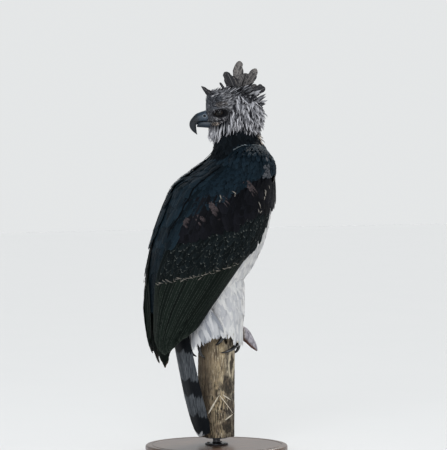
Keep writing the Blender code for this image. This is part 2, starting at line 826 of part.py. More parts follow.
def make_wing(side, plumage, torso):
    """The folded wing: a thin core under tiers of overlapping feathers."""
    outer_rows, inner_rows = [], []
    for height in WING_CORE_RINGS:
        face, inner = wing_core(height)
        places = spread(-0.04 - wing_breast(height)[0], 1.05, 7)
        outer_rows.append([wing_point(side, t, height, -face) for t in places])
        inner_rows.append([wing_point(side, t, height, -inner) for t in places])
    place = Vector((SHOULDER.x, side * SHOULDER.y, SHOULDER.z))
    pieces = [shell_loft("wing", outer_rows, inner_rows)]
    pieces.append(ellipsoid("shoulder", place, SHOULDER_RADII, rings=6, sides=12))
    pieces += wing_tier(side, PRIMARIES, LONG_VANE, PRIMARY_STEP)
    pieces += wing_tier(side, SECONDARIES, LONG_VANE)
    pieces += wing_tier(side, GREATER_COVERTS, SHORT_VANE)
    pieces += wing_tier(side, MEDIAN_COVERTS, SHORT_VANE)
    pieces += wing_tier(side, LESSER_COVERTS, SHORT_VANE)
    pieces += wing_tier(side, SCAPULARS, SHORT_VANE)
    pieces += wing_tier(side, UPPER_SCAPULARS, SHORT_VANE)
    name = "wing_" + SIDE_NAMES[side]
    return fuse(name, pieces, [swollen(torso), neck_loft("neck_room", 2 * GAP)], material=plumage)


def tail_point(height, across, lift):
    """A point of the closed tail: across runs from -1 at its right edge to 1 at its left."""
    x, y = tail_rows(height)
    lower, upper = tail_rows(height - 0.004), tail_rows(height + 0.004)
    lean = math.atan2(upper[0] - lower[0], 0.008)
    back = Vector((-math.cos(lean), 0, math.sin(lean)))
    arch = -0.006 * across**2
    left = Vector((-math.sin(TAIL_TWIST), math.cos(TAIL_TWIST), 0))
    return Vector((x, y, height)) + left * TAIL_HALF_WIDTH * across + back * (lift + arch)


def tail_vane(across, lift, tip):
    """One long tail feather."""
    stations = []
    for part, width in TAIL_SHAPE:
        height = TAIL_ROOT + (tip - TAIL_ROOT) * part
        place = across * (0.75 + 0.25 * part)
        centre = tail_point(height, place, lift)
        reach = width * TAIL_VANE_HALF_WIDTH
        edge = tail_point(height, place + reach / TAIL_HALF_WIDTH, lift)
        side = (edge - tail_point(height, place - reach / TAIL_HALF_WIDTH, lift)) / 2
        down = tail_point(height - 0.004, place, lift) - centre
        through = side.cross(down).normalized() * VANE_HALF_THICKNESS
        stations.append((centre, side, through))
    return blade("vane", stations, tail_point(tip, across, lift))


def make_tail(plumage, torso):
    """The closed tail: long feathers over one another, fused at a short root."""
    root = sweep(
        "tail",
        [tail_point(height, 0, 0) for height in TAIL_CORE_HEIGHTS],
        TAIL_CORE_RADII,
        sides=10,
        flatten=TAIL_CORE_FLATNESS,
        up=Vector((-1, 0, 0)),
    )
    pieces = [root]
    for rank, (across, left, right) in enumerate(TAIL_VANES):
        tip = TAIL_TIP + 0.0025 * rank
        pieces += [tail_vane(across, left, tip), tail_vane(-across, right, tip + 0.001)]
    return fuse("tail", pieces, [swollen(torso)], material=plumage)


def palm_of(side):
    """The middle of a foot's palm."""
    return Vector((PALM.x * -side, PALM.y * side, PALM.z))


def toe_route(side, bearing, end):
    """The toe's middle line, from the palm over the trunk's edge and down its side."""
    palm = palm_of(side)
    turn = math.radians(bearing)
    out = Vector((math.cos(turn), math.sin(turn), 0))
    top = PERCH_TOP + TOE_RADIUS + 0.001
    edge = out * (TOE_LINE - 0.013)
    shelf = palm.lerp(edge, 0.55)
    route = [palm, Vector((shelf.x, shelf.y, top + 0.004)), edge + Vector((0, 0, top + 0.001))]
    for inward, drop in TOE_BEND:
        route.append(out * (TOE_LINE - inward) + Vector((0, 0, top + drop)))
    route.append(out * TOE_LINE + Vector((0, 0, min((top + end) / 2 - 0.004, top - 0.013))))
    route.append(out * TOE_LINE + Vector((0, 0, min(end, top - 0.016))))
    return route


def make_foot(side, scales, perch):
    """The lower leg and the toes that grip the trunk."""
    palm = palm_of(side)
    shank = [palm + mirrored(step, side) for step in TARSUS_RISE]
    pieces = [
        sweep("tarsus", shank, [TARSUS_RADIUS] * 3, 8, up=Vector((1, 0, 0))),
        ellipsoid("palm", palm, (0.0165, 0.0155, 0.0125), rings=4, sides=9),
    ]
    for digit, bearing, end in TOES[side]:
        route = toe_route(side, bearing, end)
        radii = [TOE_RADIUS + TOE_SCUTE * (0.3 if i % 2 else -0.5) for i in range(len(route))]
        radii[-1] = TOE_RADIUS * 0.80
        across = Vector((0, 0, 1)).cross(route[-1]).normalized()
        pieces.append(sweep("toe", route, radii, sides=7, up=across))
    return fuse("foot_" + SIDE_NAMES[side], pieces, [swollen(perch)], material=scales)


def make_claw(side, digit, bearing, end, horn, foot, perch):
    """One curved claw, its root against the toe's end."""
    drop, swing, reach = CLAWS[side][digit]
    start = toe_route(side, bearing, end)[-1].z
    path, radii = [], []
    for s in spread(0, 1, 6):
        turn = math.radians(bearing + swing * s)
        ring = TOE_LINE + reach * math.sin(math.pi * min(s * 1.15, 1)) * 0.8 - 0.009 * s
        height = start + 0.0012 - drop * math.sin(s * math.pi / 2)
        path.append(Vector((ring * math.cos(turn), ring * math.sin(turn), height)))
        radii.append(CLAW_RADIUS * (1 - s) ** 0.75 + 0.0005)
    name = "claw_{}_{}".format(SIDE_NAMES[side], digit)
    claw = sweep(name, path, radii, sides=6, up=Vector((0.3, 0.2, 1)).normalized())
    return fuse(name, [claw], [swollen(foot), swollen(perch)], material=horn)


def thigh_point(side, turn, height, lift=0.0):
    """A point on the thigh's plumage at a bearing counted from straight ahead toward the outside."""
    x, y, depth, width = thigh_rows(height)
    return Vector(
        (x + (depth + lift) * math.cos(turn), side * (y + (width + lift) * math.sin(turn)), height)
    )


def make_thigh(side, plumage, torso, foot, perch):
    """The loose white plumage of the leg, with the hanging locks of its hem."""
    rings = []
    for height in spread(0.336, 0.475, 5):
        rings.append([thigh_point(side, 2 * math.pi * k / 12, height) for k in range(12)])
    name = "thigh_" + SIDE_NAMES[side]
    pieces = [loft(name, rings)]
    draw = random.Random(5 + side)
    for i in range(HEM_LOCKS):
        part = (i + 0.3 * draw.random()) / (HEM_LOCKS - 0.7)
        turn = math.radians(HEM_SPAN[0] + (HEM_SPAN[1] - HEM_SPAN[0]) * part)
        root = thigh_point(side, turn, HEM_ROOT, -0.005)
        tip = thigh_point(side, turn, THIGH[0][0], 0.003)
        tip.z = HEM_TIP + draw.uniform(-0.003, 0.006)
        radial = (thigh_point(side, turn, HEM_ROOT, 0.01) - thigh_point(side, turn, HEM_ROOT)).normalized()
        pieces.append(lock(root, tip, radial * 0.004, radial, HEM_HALF_WIDTH))
    return fuse(name, pieces, [swollen(torso), swollen(foot), swollen(perch)], material=plumage)


def bill_loft(name, rows, flat_side, sides=10):
    """A bill half: rings from its upper to its lower point, flatter on the side that meets the other."""
    rings = []
    for (x0, z0), (x1, z1), half in rows:
        top, low = Vector((x0, 0, z0)), Vector((x1, 0, z1))
        middle, reach = (top + low) / 2, (top - low) / 2
        ring = []
        for k in range(sides):
            turn = 2 * math.pi * (k + 0.5) / sides
            rise = math.cos(turn)
            if rise * flat_side > 0:
                rise = math.copysign(abs(rise) ** BILL_FLATNESS, rise)
            ring.append(head_to_body(middle + reach * rise + Vector((0, half * math.sin(turn), 0))))
        rings.append(ring)
    return loft(name, rings)


def make_bill(horn):
    """The hooked upper bill with its cere and nostrils, and the lower bill."""
    nostrils = []
    for side in (LEFT, RIGHT):
        spin = Matrix.Rotation(HEAD_TURN, 3, "Z") @ Matrix.Rotation(math.radians(-35), 3, "Y")
        place = head_to_body(mirrored(NOSTRIL, side))
        nostrils.append(ellipsoid("nostril", place, NOSTRIL_RADII, spin, rings=3, sides=8))
    upper = bill_loft("bill_upper", BILL_UPPER, -1)
    lower = bill_loft("bill_lower", BILL_LOWER, 1)
    fuse("bill_upper", [upper], [head_core_loft("core", GAP)] + nostrils, material=horn)
    fuse("bill_lower", [lower], [head_core_loft("core", GAP)], material=horn)


def head_side(x, z):
    """Half the head core's width at a place of the head's frame."""
    middle, tall, wide = head_rows(x)
    return wide * math.sqrt(max(0.0, 1 - ((z - middle) / tall) ** 2))


def head_lock(root, tip, bow, flat, half_width):
    """A lock given in the head's frame."""
    origin = head_to_body((0, 0, 0))
    return lock(
        head_to_body(root),
        head_to_body(tip),
        head_to_body(bow) - origin,
        head_to_body(flat) - origin,
        half_width,
    )


def crest_feather(root, tip, half_width, turn):
    """One raised crest feather, broad and round-tipped."""
    root, tip = Vector(root), Vector(tip)
    rise = tip - root
    sideways = Matrix.Rotation(math.radians(turn), 3, "Z") @ Vector((1, 0, 0))
    side = (sideways - rise * sideways.dot(rise) / rise.length_squared).normalized()
    through = rise.cross(side).normalized()
    origin = head_to_body((0, 0, 0))
    bow = side * rise.length * (-0.10 if rise.x < 0 else 0.04)
    stations = []
    for part, width in CREST_SHAPE:
        centre = root + rise * part + bow * math.sin(math.pi * part) * 0.5
        stations.append(
            (
                head_to_body(centre),
                head_to_body(side * half_width * width) - origin,
                head_to_body(through * CREST_HALF_THICKNESS) - origin,
            )
        )
    return blade("crest", stations, head_to_body(tip))


def ruff_locks():
    """Rows of locks that lie back and down round the head."""
    draw = random.Random(RUFF_SEED)
    locks = []
    for x, count, first, last, length in RUFF_ROWS:
        middle, tall, wide = head_rows(x)
        for side in (LEFT, RIGHT):
            for i in range(count):
                part = (i + 0.35 * draw.random()) / (count - 0.7)
                turn = math.radians(first + (last - first) * part)
                radial = Vector((0, side * math.sin(turn), math.cos(turn)))
                surface = Vector((x, side * wide * math.sin(turn), middle + tall * math.cos(turn)))
                root = surface - radial * RUFF_SUNK
                reach = RUFF_LIE + radial * RUFF_FLARE
                size = length * draw.uniform(0.86, 1.10)
                tip = root + reach.normalized() * (size + RUFF_SUNK)
                locks.append(head_lock(root, tip, radial * 0.004, radial, LOCK_HALF_WIDTH))
    for x, y in THROAT_LOCKS:
        root = Vector((x, y, -0.040))
        tip = Vector((x - 0.014, y * 1.3, -0.084 + 0.25 * abs(y)))
        locks.append(head_lock(root, tip, (0.004, 0, 0), (0.5, y * 40, -0.2), 0.0085))
    return locks


def eye_opening(side):
    """The almond-shaped slot between the lids, as a cutter that starts at the eye's centre."""
    aim = mirrored(EYE_AIM, side)
    forward = (Vector((1, 0, 0)) - aim * aim.x).normalized()
    upward = Vector((0, 0, 1))
    half_length, half_up, half_down = EYE_OPENING
    rings = []
    for depth in (0.004, 0.030):
        ring = []
        for k in range(10):
            turn = 2 * math.pi * k / 10
            tall = half_up if math.sin(turn) > 0 else half_down
            offset = forward * half_length * math.cos(turn) + upward * tall * math.sin(turn)
            tilt = upward * -0.12 * half_length * math.cos(turn)
            ring.append(head_to_body(mirrored(EYE_PLACE, side) + aim * depth + offset + tilt))
        rings.append(ring)
    return loft("slot", rings)


def mouth_groove(side):
    """The line of the mouth behind the bill, as a thin cutter along the cheek."""
    path = []
    for x, z in MOUTH_LINE:
        path.append(head_to_body((x, side * head_side(x, z), z)))
    return sweep("groove", path, MOUTH_RADII, sides=6)


def make_head(plumage, neck):
    """The head: core, lids, brows, mouth line, the ruff's locks and the crest's feathers."""
    spin = Matrix.Rotation(HEAD_TURN, 3, "Z")
    head = head_core_loft("head")
    bowls = []
    for side in (LEFT, RIGHT):
        bowl = head_to_body(mirrored(SOCKET_PLACE, side))
        bowls.append(ellipsoid("bowl", bowl, SOCKET_RADII, spin, rings=6, sides=14))
    boolean(head, bowls, "DIFFERENCE", "MANIFOLD")
    pieces, cutters = [head], [swollen(neck)]
    for side in (LEFT, RIGHT):
        eye = head_to_body(mirrored(EYE_PLACE, side))
        lids = [EYE_RADIUS + LID_THICKNESS] * 3
        pieces.append(ellipsoid("lids", eye, lids, spin, rings=6, sides=12))
        brow = [head_to_body(mirrored(p, side)) for p in BROW]
        pieces.append(sweep("brow", brow, BROW_RADII, sides=6))
        cutters.append(ellipsoid("socket", eye, [EYE_RADIUS + GAP] * 3, spin, rings=7, sides=14))
        cutters += [eye_opening(side), mouth_groove(side)]
    pieces += ruff_locks()
    pieces += [crest_feather(*feather) for feather in CREST]
    return fuse("head", pieces, cutters, material=plumage)


def main():
    """Builds every part from the floor up."""
    clear_scene()
    wood = paint("stained_wood", (0.09, 0.05, 0.03), 0.45)
    steel = paint("dark_steel", (0.10, 0.10, 0.11), 0.35, 1.0)
    bark = paint("dead_trunk", (0.36, 0.28, 0.20), 0.9)
    slate = paint("slate_plumage", (0.025, 0.03, 0.036), 0.7)
    white = paint("white_plumage", (0.75, 0.74, 0.72), 0.8)
    grey = paint("grey_plumage", (0.30, 0.30, 0.31), 0.8)
    horn = paint("black_horn", (0.02, 0.02, 0.025), 0.3)
    skin = paint("yellow_skin", (0.55, 0.40, 0.12), 0.6)
    iris = paint("eye", (0.10, 0.07, 0.05), 0.1)
    make_stand(wood, steel)
    perch = make_perch(bark)
    torso = make_torso(white)
    neck = make_neck(slate, torso)
    make_head(grey, neck)
    make_eyes(iris)
    make_bill(horn)
    for side in (RIGHT, LEFT):
        make_wing(side, slate, torso)
    make_tail(grey, torso)
    for side in (RIGHT, LEFT):
        foot = make_foot(side, skin, perch)
        make_thigh(side, white, torso, foot, perch)
        for digit, bearing, end in TOES[side]:
            make_claw(side, digit, bearing, end, horn, foot, perch)


main()
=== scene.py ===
"""Looks of a harpy eagle, life size, gripping a cut length of dead trunk on a plain display stand."""

import math

import bmesh
import bpy
import numpy as np
from mathutils import Matrix, Vector, noise


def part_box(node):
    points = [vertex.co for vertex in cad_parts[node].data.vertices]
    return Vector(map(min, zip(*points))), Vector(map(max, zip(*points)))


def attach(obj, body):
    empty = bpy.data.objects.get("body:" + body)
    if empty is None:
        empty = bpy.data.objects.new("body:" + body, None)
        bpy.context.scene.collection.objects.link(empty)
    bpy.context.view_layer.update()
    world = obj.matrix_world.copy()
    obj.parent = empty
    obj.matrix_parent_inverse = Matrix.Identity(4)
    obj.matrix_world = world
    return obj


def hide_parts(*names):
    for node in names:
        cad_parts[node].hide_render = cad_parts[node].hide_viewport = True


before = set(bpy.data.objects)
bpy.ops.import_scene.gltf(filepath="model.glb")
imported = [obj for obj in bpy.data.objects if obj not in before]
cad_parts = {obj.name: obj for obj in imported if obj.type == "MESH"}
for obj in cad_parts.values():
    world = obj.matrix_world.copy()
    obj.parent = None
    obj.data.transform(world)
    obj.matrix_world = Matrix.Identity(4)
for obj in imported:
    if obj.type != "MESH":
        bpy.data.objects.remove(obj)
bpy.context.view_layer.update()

# Camera
# The photograph looks slightly down on the bird from behind its right shoulder, with a long lens.
# The camera keeps that angle, distance and framing, with the bird left of the middle.
VIEW_TURN = math.radians(-30)
VIEW_RISE = math.radians(2)
VIEW_REACH = 7.0
VIEW_SPAN = 1.170
VIEW_CENTRE = Vector((0.0156, -0.0090, 0.594))
SENSOR = 36.0

camera_data = bpy.data.cameras.new("camera")
camera = bpy.data.objects.new("camera", camera_data)
bpy.context.scene.collection.objects.link(camera)
camera_data.sensor_fit = "VERTICAL"
camera_data.sensor_height = SENSOR
camera_data.lens = SENSOR * VIEW_REACH / VIEW_SPAN
camera_data.clip_end = 200
toward_camera = Vector(
    (
        math.sin(VIEW_TURN) * math.cos(VIEW_RISE),
        -math.cos(VIEW_TURN) * math.cos(VIEW_RISE),
        math.sin(VIEW_RISE),
    )
)
camera.location = VIEW_CENTRE + toward_camera * VIEW_REACH
camera.rotation_euler = (-toward_camera).to_track_quat("-Z", "Y").to_euler()
bpy.context.scene.camera = camera

# Stand base
# A turned disc of dark stained hardwood with a rounded rim and a shallow bead near its edge.
# It is lathed as one piece and rubbed with satin oil.
BASE_RADIUS = 0.185
BASE_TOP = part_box("stand_base")[1].z
WOOD_DARK = (0.030, 0.014, 0.007, 1)
WOOD_LIGHT = (0.105, 0.050, 0.024, 1)


def mesh_piece(name, points, faces, smooth_angle=None):
    """A mesh object from an array of points and an array of equal-sided faces."""
    points = np.asarray(points, np.float32)
    faces = np.asarray(faces, np.int32)
    mesh = bpy.data.meshes.new(name)
    mesh.vertices.add(len(points))
    mesh.vertices.foreach_set("co", points.ravel())
    mesh.loops.add(faces.size)
    mesh.loops.foreach_set("vertex_index", faces.ravel())
    mesh.polygons.add(len(faces))
    mesh.polygons.foreach_set("loop_start", np.arange(len(faces), dtype=np.int32) * faces.shape[1])
    mesh.update(calc_edges=True)
    piece = bpy.data.objects.new(name, mesh)
    bpy.context.scene.collection.objects.link(piece)
    if smooth_angle is not None:
        mesh.shade_smooth()
        mesh.set_sharp_from_angle(angle=math.radians(smooth_angle))
    return piece


def grid_faces(rows, columns, wrapped=True):
    """Quads of a grid whose rows close on themselves when wrapped."""
    row, column = np.meshgrid(np.arange(rows - 1), np.arange(columns - (not wrapped)), indexing="ij")
    a = row * columns + column
    b = row * columns + (column + 1) % columns
    return np.stack((a, b, b + columns, a + columns), -1).reshape(-1, 4)


def tube(name, rings, smooth_angle=40):
    """A closed skin over an array of rings, its ends fanned to their middles."""
    rings = np.asarray(rings, float)
    count, sides = rings.shape[:2]
    points = np.concatenate((rings.reshape(-1, 3), rings[:1].mean(1), rings[-1:].mean(1)))
    quads = grid_faces(count, sides)
    k = np.arange(sides)
    after = (k + 1) % sides
    last = (count - 1) * sides
    low = np.stack((after, k, np.full(sides, len(points) - 2)), -1)
    high = np.stack((last + k, last + after, np.full(sides, len(points) - 1)), -1)
    triangles = np.concatenate((quads[:, (0, 1, 2)], quads[:, (0, 2, 3)], low, high))
    piece = mesh_piece(name, points, triangles)
    work = bmesh.new()
    work.from_mesh(piece.data)
    if work.calc_volume(signed=True) < 0:
        bmesh.ops.reverse_faces(work, faces=work.faces)
    work.to_mesh(piece.data)
    work.free()
    piece.data.shade_smooth()
    piece.data.set_sharp_from_angle(angle=math.radians(smooth_angle))
    return piece


def all_round(count):
    """Bearings spread evenly over a full turn."""
    return np.linspace(0, 2 * math.pi, count, endpoint=False)


def turned(name, profile, sides=160, smooth_angle=35):
    """A piece turned about the upright axis from (radius, height) pairs."""
    turn = all_round(sides)
    radius, height = np.array(profile).T
    rings = np.stack(
        (
            radius[:, None] * np.cos(turn),
            radius[:, None] * np.sin(turn),
            np.repeat(height[:, None], sides, 1),
        ),
        -1,
    )
    return tube(name, rings, smooth_angle)


def node(tree, kind, inputs=None, **settings):
    """A shader node with its settings and its inputs, which are values or other nodes' outputs."""
    made = tree.nodes.new(kind)
    for key, value in settings.items():
        setattr(made, key, value)
    for key, value in (inputs or {}).items():
        if isinstance(value, bpy.types.NodeSocket):
            tree.links.new(value, made.inputs[key])
        else:
            made.inputs[key].default_value = value
    return made


def blended(tree, share, first, second):
    """A colour between two, by a share from 0 to 1."""
    return node(tree, "ShaderNodeMix", {0: share, 6: first, 7: second}, data_type="RGBA").outputs[2]


def worked(tree, operation, *values, held=False):
    """One step of arithmetic, held between 0 and 1 where asked."""
    inputs = dict(enumerate(values))
    return node(tree, "ShaderNodeMath", inputs, operation=operation, use_clamp=held).outputs[0]


def shared(tree, first, second):
    """The product of two shares."""
    return worked(tree, "MULTIPLY", first, second, held=True)


def ramped(tree, value, low, high):
    """A value eased from 0 at low to 1 at high."""
    inputs = {"Value": value, "From Min": low, "From Max": high}
    return node(tree, "ShaderNodeMapRange", inputs, interpolation_type="SMOOTHSTEP").outputs[0]


def clouded(tree, place, scale, detail=4.0, roughness=0.55):
    """Soft noise of a given scale at a place."""
    inputs = {"Vector": place, "Scale": scale, "Detail": detail, "Roughness": roughness}
    return node(tree, "ShaderNodeTexNoise", inputs).outputs[0]


def own_place(tree):
    """The piece's own coordinates."""
    return node(tree, "ShaderNodeTexCoord").outputs["Object"]


def stretched(tree, scale):
    """The piece's own coordinates, scaled along each axis."""
    return node(tree, "ShaderNodeMapping", {"Vector": own_place(tree), "Scale": scale}).outputs[0]


def new_finish(name, roughness, specular=0.5):
    """A material, its node tree and its shader."""
    material = bpy.data.materials.new(name)
    material.use_nodes = True
    shader = material.node_tree.nodes["Principled BSDF"]
    shader.inputs["Roughness"].default_value = roughness
    shader.inputs["Specular IOR Level"].default_value = specular
    return material, material.node_tree, shader


def painted(shader, colour):
    """Joins a colour to the shader as the surface's own."""
    shader.id_data.links.new(colour, shader.inputs["Base Color"])


def raised(tree, shader, height, distance, strength=1.0):
    """Joins a height to the shader as bump."""
    inputs = {"Height": height, "Distance": distance, "Strength": strength}
    bump = node(tree, "ShaderNodeBump", inputs)
    tree.links.new(bump.outputs[0], shader.inputs["Normal"])


def finished(piece, material, slot, *nodes):
    """Gives a piece its material and the root body, and hides the nodes that it stands for; slot is not
    used.
    """
    piece.data.materials.clear()
    piece.data.materials.append(material)
    if nodes:
        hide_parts(*nodes)
    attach(piece, "root")
    return piece


oiled_wood, tree, shader = new_finish("oiled_wood", 0.38)
grain_place = stretched(tree, (3.0, 34.0, 34.0))
grain = clouded(tree, grain_place, 4.0, 8.0, 0.6)
pores = clouded(tree, stretched(tree, (30.0, 420.0, 420.0)), 2.0, 3.0)
figure = ramped(tree, grain, 0.32, 0.68)
colour = blended(tree, figure, WOOD_DARK, WOOD_LIGHT)
colour = blended(tree, ramped(tree, pores, 0.60, 0.72), colour, WOOD_DARK)
painted(shader, colour)
shader.inputs["Coat Weight"].default_value = 0.25
shader.inputs["Coat Roughness"].default_value = 0.25
raised(tree, shader, pores, 0.0003, 0.4)

RIM_ROUND = 0.0045
BEAD_INSET = 0.016
BEAD_RADIUS = 0.003
BEAD_DEPTH = 0.0016
HUB_RADIUS = 0.020
base_profile = [(BASE_RADIUS - 0.0035, 0.0), (BASE_RADIUS - 0.0012, 0.0012), (BASE_RADIUS, 0.0032)]
for i in range(9):
    quarter = math.pi / 2 * i / 8
    reach = BASE_RADIUS - RIM_ROUND + RIM_ROUND * math.cos(quarter)
    base_profile.append((reach, BASE_TOP - RIM_ROUND + RIM_ROUND * math.sin(quarter)))
bead_centre = BASE_RADIUS - BEAD_INSET
for i in range(9):
    turn = math.pi * i / 8
    reach = bead_centre + BEAD_RADIUS * math.cos(turn)
    base_profile.append((reach, BASE_TOP - BEAD_DEPTH * math.sin(turn)))
base_profile.append((HUB_RADIUS, BASE_TOP))
base = turned("base_disc", base_profile)
finished(base, oiled_wood, "stained_wood", "stand_base")

# Stand rod
# A short steel rod with a round flange at each end, screwed to the base and to the trunk.
# Turned and blackened, with three countersunk screws in the lower flange.
ROD_RADIUS = 0.010
FLANGE_RADIUS = 0.030
SCREW_RING = 0.021
rod_low, rod_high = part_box("stand_rod")
STEEL = (0.055, 0.055, 0.060, 1)
STEEL_WORN = (0.16, 0.16, 0.17, 1)

blackened_steel, tree, shader = new_finish("blackened_steel", 0.36)
shader.inputs["Metallic"].default_value = 1.0
wear = clouded(tree, stretched(tree, (40.0, 40.0, 160.0)), 3.0, 6.0)
colour = blended(tree, ramped(tree, wear, 0.50, 0.72), STEEL, STEEL_WORN)
painted(shader, colour)
raised(tree, shader, wear, 0.0002, 0.3)

rod_profile = [
    (FLANGE_RADIUS - 0.0006, rod_low.z),
    (FLANGE_RADIUS, rod_low.z + 0.0006),
    (FLANGE_RADIUS, rod_low.z + 0.0032),
    (FLANGE_RADIUS - 0.0012, rod_low.z + 0.0042),
    (ROD_RADIUS + 0.0025, rod_low.z + 0.0042),
    (ROD_RADIUS, rod_low.z + 0.0062),
    (ROD_RADIUS, rod_high.z - 0.0062),
    (ROD_RADIUS + 0.0025, rod_high.z - 0.0042),
    (FLANGE_RADIUS - 0.0012, rod_high.z - 0.0042),
    (FLANGE_RADIUS, rod_high.z - 0.0032),
    (FLANGE_RADIUS, rod_high.z),
]
rod = turned("steel_rod", rod_profile, 96)
finished(rod, blackened_steel, "dark_steel", "stand_rod")
for i in range(3):
    turn = 2 * math.pi * i / 3 + 0.5
    centre = np.array((SCREW_RING * math.cos(turn), SCREW_RING * math.sin(turn), 0.0))
    head = turned(
        f"screw_{i + 1}",
        [(0.0036, 0.0), (0.0038, 0.0006), (0.0034, 0.0014), (0.0020, 0.0019), (0.0012, 0.0010)],
        32,
    )
    head.data.transform(Matrix.Translation(Vector(centre) + Vector((0, 0, rod_low.z + 0.0041))))
    finished(head, blackened_steel, "dark_steel")

# Perch
# A cut length of standing dead trunk, its bark gone, with long drying cracks, a broken stub
# bleached grey, a rotten hollow under the bird's feet and a long open scar down one side.
# Painted shade darkens the trunk's side away from the key light, the stub's underside and its hollows
# and cracks.
PERCH_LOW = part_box("stand_perch")[0].z
PERCH_TOP = 0.313
PERCH_RADIUS = 0.0475
PERCH_RIDGE = 0.0012
STUB_TURN = math.radians(-30)
STUB_PATH = (
    (0.022, 0.304), (0.050, 0.312), (0.067, 0.3125), (0.083, 0.2975), (0.097, 0.2785), (0.1055, 0.2665)
)
STUB_RADII = (0.0140, 0.0180, 0.0172, 0.0130, 0.0080, 0.0020)
SCAR_TURN = math.radians(-57)
SCAR_HEIGHT = 0.222
SCAR_SIZE = (0.20, 0.046)
SCAR_DEPTH = 0.0055
SCAR_LIP = 0.0011
STUB_GREY = (0.17, 0.155, 0.175, 1)
HOLLOW_TURN = math.radians(-88)
HOLLOW_HEIGHT = 0.306
HOLLOW_SIZE = (0.17, 0.016)
HOLLOW_DEPTH = 0.009
CRACKS = 34
# Height of the trunk's roughness, and how dense it is round, round and along
TRUNK_GRAIN = ((0.0009, (5, 5, 1.5)), (0.0007, (22, 22, 3.0)), (0.0004, (60, 60, 6.0)))
# Bearing in degrees, height, half width, half height, cover and pale rim of the dark scars
SCARS = (
    (-62, 0.2300, 0.0125, 0.037, 0.92, 0.8),
    (-88, 0.3040, 0.0070, 0.024, 0.92, 0.3),
    (-84, 0.1790, 0.0190, 0.027, 0.85, 0.15),
    (-80, 0.0730, 0.0140, 0.021, 0.88, 0.15),
    (-150, 0.1750, 0.0120, 0.060, 0.35, 0.0),
)
WOOD_TAN = (0.400, 0.312, 0.192, 1)
WOOD_PALE = (0.640, 0.548, 0.395, 1)
WOOD_BARK = (0.082, 0.071, 0.060, 1)
WOOD_BROWN = (0.120, 0.088, 0.060, 1)
WOOD_BLACK = (0.016, 0.013, 0.011, 1)
WOOD_GREY = (0.420, 0.400, 0.430, 1)
# Painted shade for the stub's downward faces
STUB_UNDERSIDE_SHADE = (0.090, 0.040, 0.028, 1)


def soft_noise(points, scale, seed):
    """Blender's noise at an array of points, about -1 to 1."""
    shift = Vector((seed * 7.1, seed * 3.7, seed * 5.3))
    values = [noise.noise(Vector(p) * scale + shift) for p in points]
    return np.array(values)


def measured(tree, operation, *vectors):
    """A number from vectors: a length, a distance or a dot product."""
    inputs = dict(enumerate(vectors))
    return node(tree, "ShaderNodeVectorMath", inputs, operation=operation).outputs["Value"]


def axes_of(tree, vector):
    """A vector's three numbers, by axis."""
    return node(tree, "ShaderNodeSeparateXYZ", {0: vector}).outputs


def reach_of(tree, across, up):
    """How far a place lies from the middle of a flat mark."""
    offset = node(tree, "ShaderNodeCombineXYZ", {0: across, 1: up}).outputs[0]
    return measured(tree, "LENGTH", offset)


def angle_gap(turn, centre):
    """How far a bearing is from another, the short way round."""
    return (turn - centre + math.pi) % (2 * math.pi) - math.pi


draw = np.random.default_rng(17)
turn_grid, height_grid = np.meshgrid(
    all_round(240), np.linspace(PERCH_LOW, PERCH_TOP, 220)
)
ridges = np.sin(5 * turn_grid + 9 * height_grid) + 0.6 * np.sin(11 * turn_grid - 14 * height_grid)
radius = PERCH_RADIUS + PERCH_RIDGE * ridges * 0.8
unit_points = np.stack((np.cos(turn_grid), np.sin(turn_grid), height_grid * 2.2), -1).reshape(-1, 3)
for seed, (size, spread) in enumerate(TRUNK_GRAIN, 1):
    radius += size * soft_noise(unit_points * spread, 1.0, seed).reshape(radius.shape)
for _ in range(CRACKS):
    crack_turn = draw.uniform(0, 2 * math.pi)
    middle, reach = draw.uniform(PERCH_LOW, PERCH_TOP), draw.uniform(0.02, 0.09)
    sway = 0.05 * np.sin(height_grid * draw.uniform(30, 60) + draw.uniform(0, 6))
    across = angle_gap(turn_grid, crack_turn + sway) / draw.uniform(0.018, 0.035)
    along = (height_grid - middle) / reach
    radius -= draw.uniform(0.0008, 0.0022) * np.exp(-across**2) * np.clip(1 - along**2, 0, 1)
across = angle_gap(turn_grid, SCAR_TURN) / SCAR_SIZE[0]
along = (height_grid - SCAR_HEIGHT) / SCAR_SIZE[1]
inside = np.clip(1 - across**2 - along**2, 0, 1)
radius -= SCAR_DEPTH * np.sqrt(inside)
lip = np.exp(-(((across**2 + along**2) - 1.25) ** 2) / 0.12)
radius += SCAR_LIP * lip
across = angle_gap(turn_grid, HOLLOW_TURN) / HOLLOW_SIZE[0]
along = (height_grid - HOLLOW_HEIGHT) / HOLLOW_SIZE[1]
radius -= HOLLOW_DEPTH * np.sqrt(np.clip(1 - across**2 - along**2, 0, 1))
top_wave = 0.0016 * np.sin(3 * turn_grid) * np.clip((height_grid - PERCH_TOP + 0.01) / 0.01, 0, 1)
trunk_rings = np.stack(
    (radius * np.cos(turn_grid), radius * np.sin(turn_grid), height_grid + top_wave), -1
)
crown = trunk_rings[-1] * (0.86, 0.86, 1.0)
crown[:, 2] = PERCH_TOP + 0.0012 * np.sin(5 * turn_grid[0])
core = trunk_rings[-1] * (0.45, 0.45, 1.0)
core[:, 2] = PERCH_TOP - 0.004
trunk = tube("trunk", np.concatenate((trunk_rings, crown[None], core[None])))


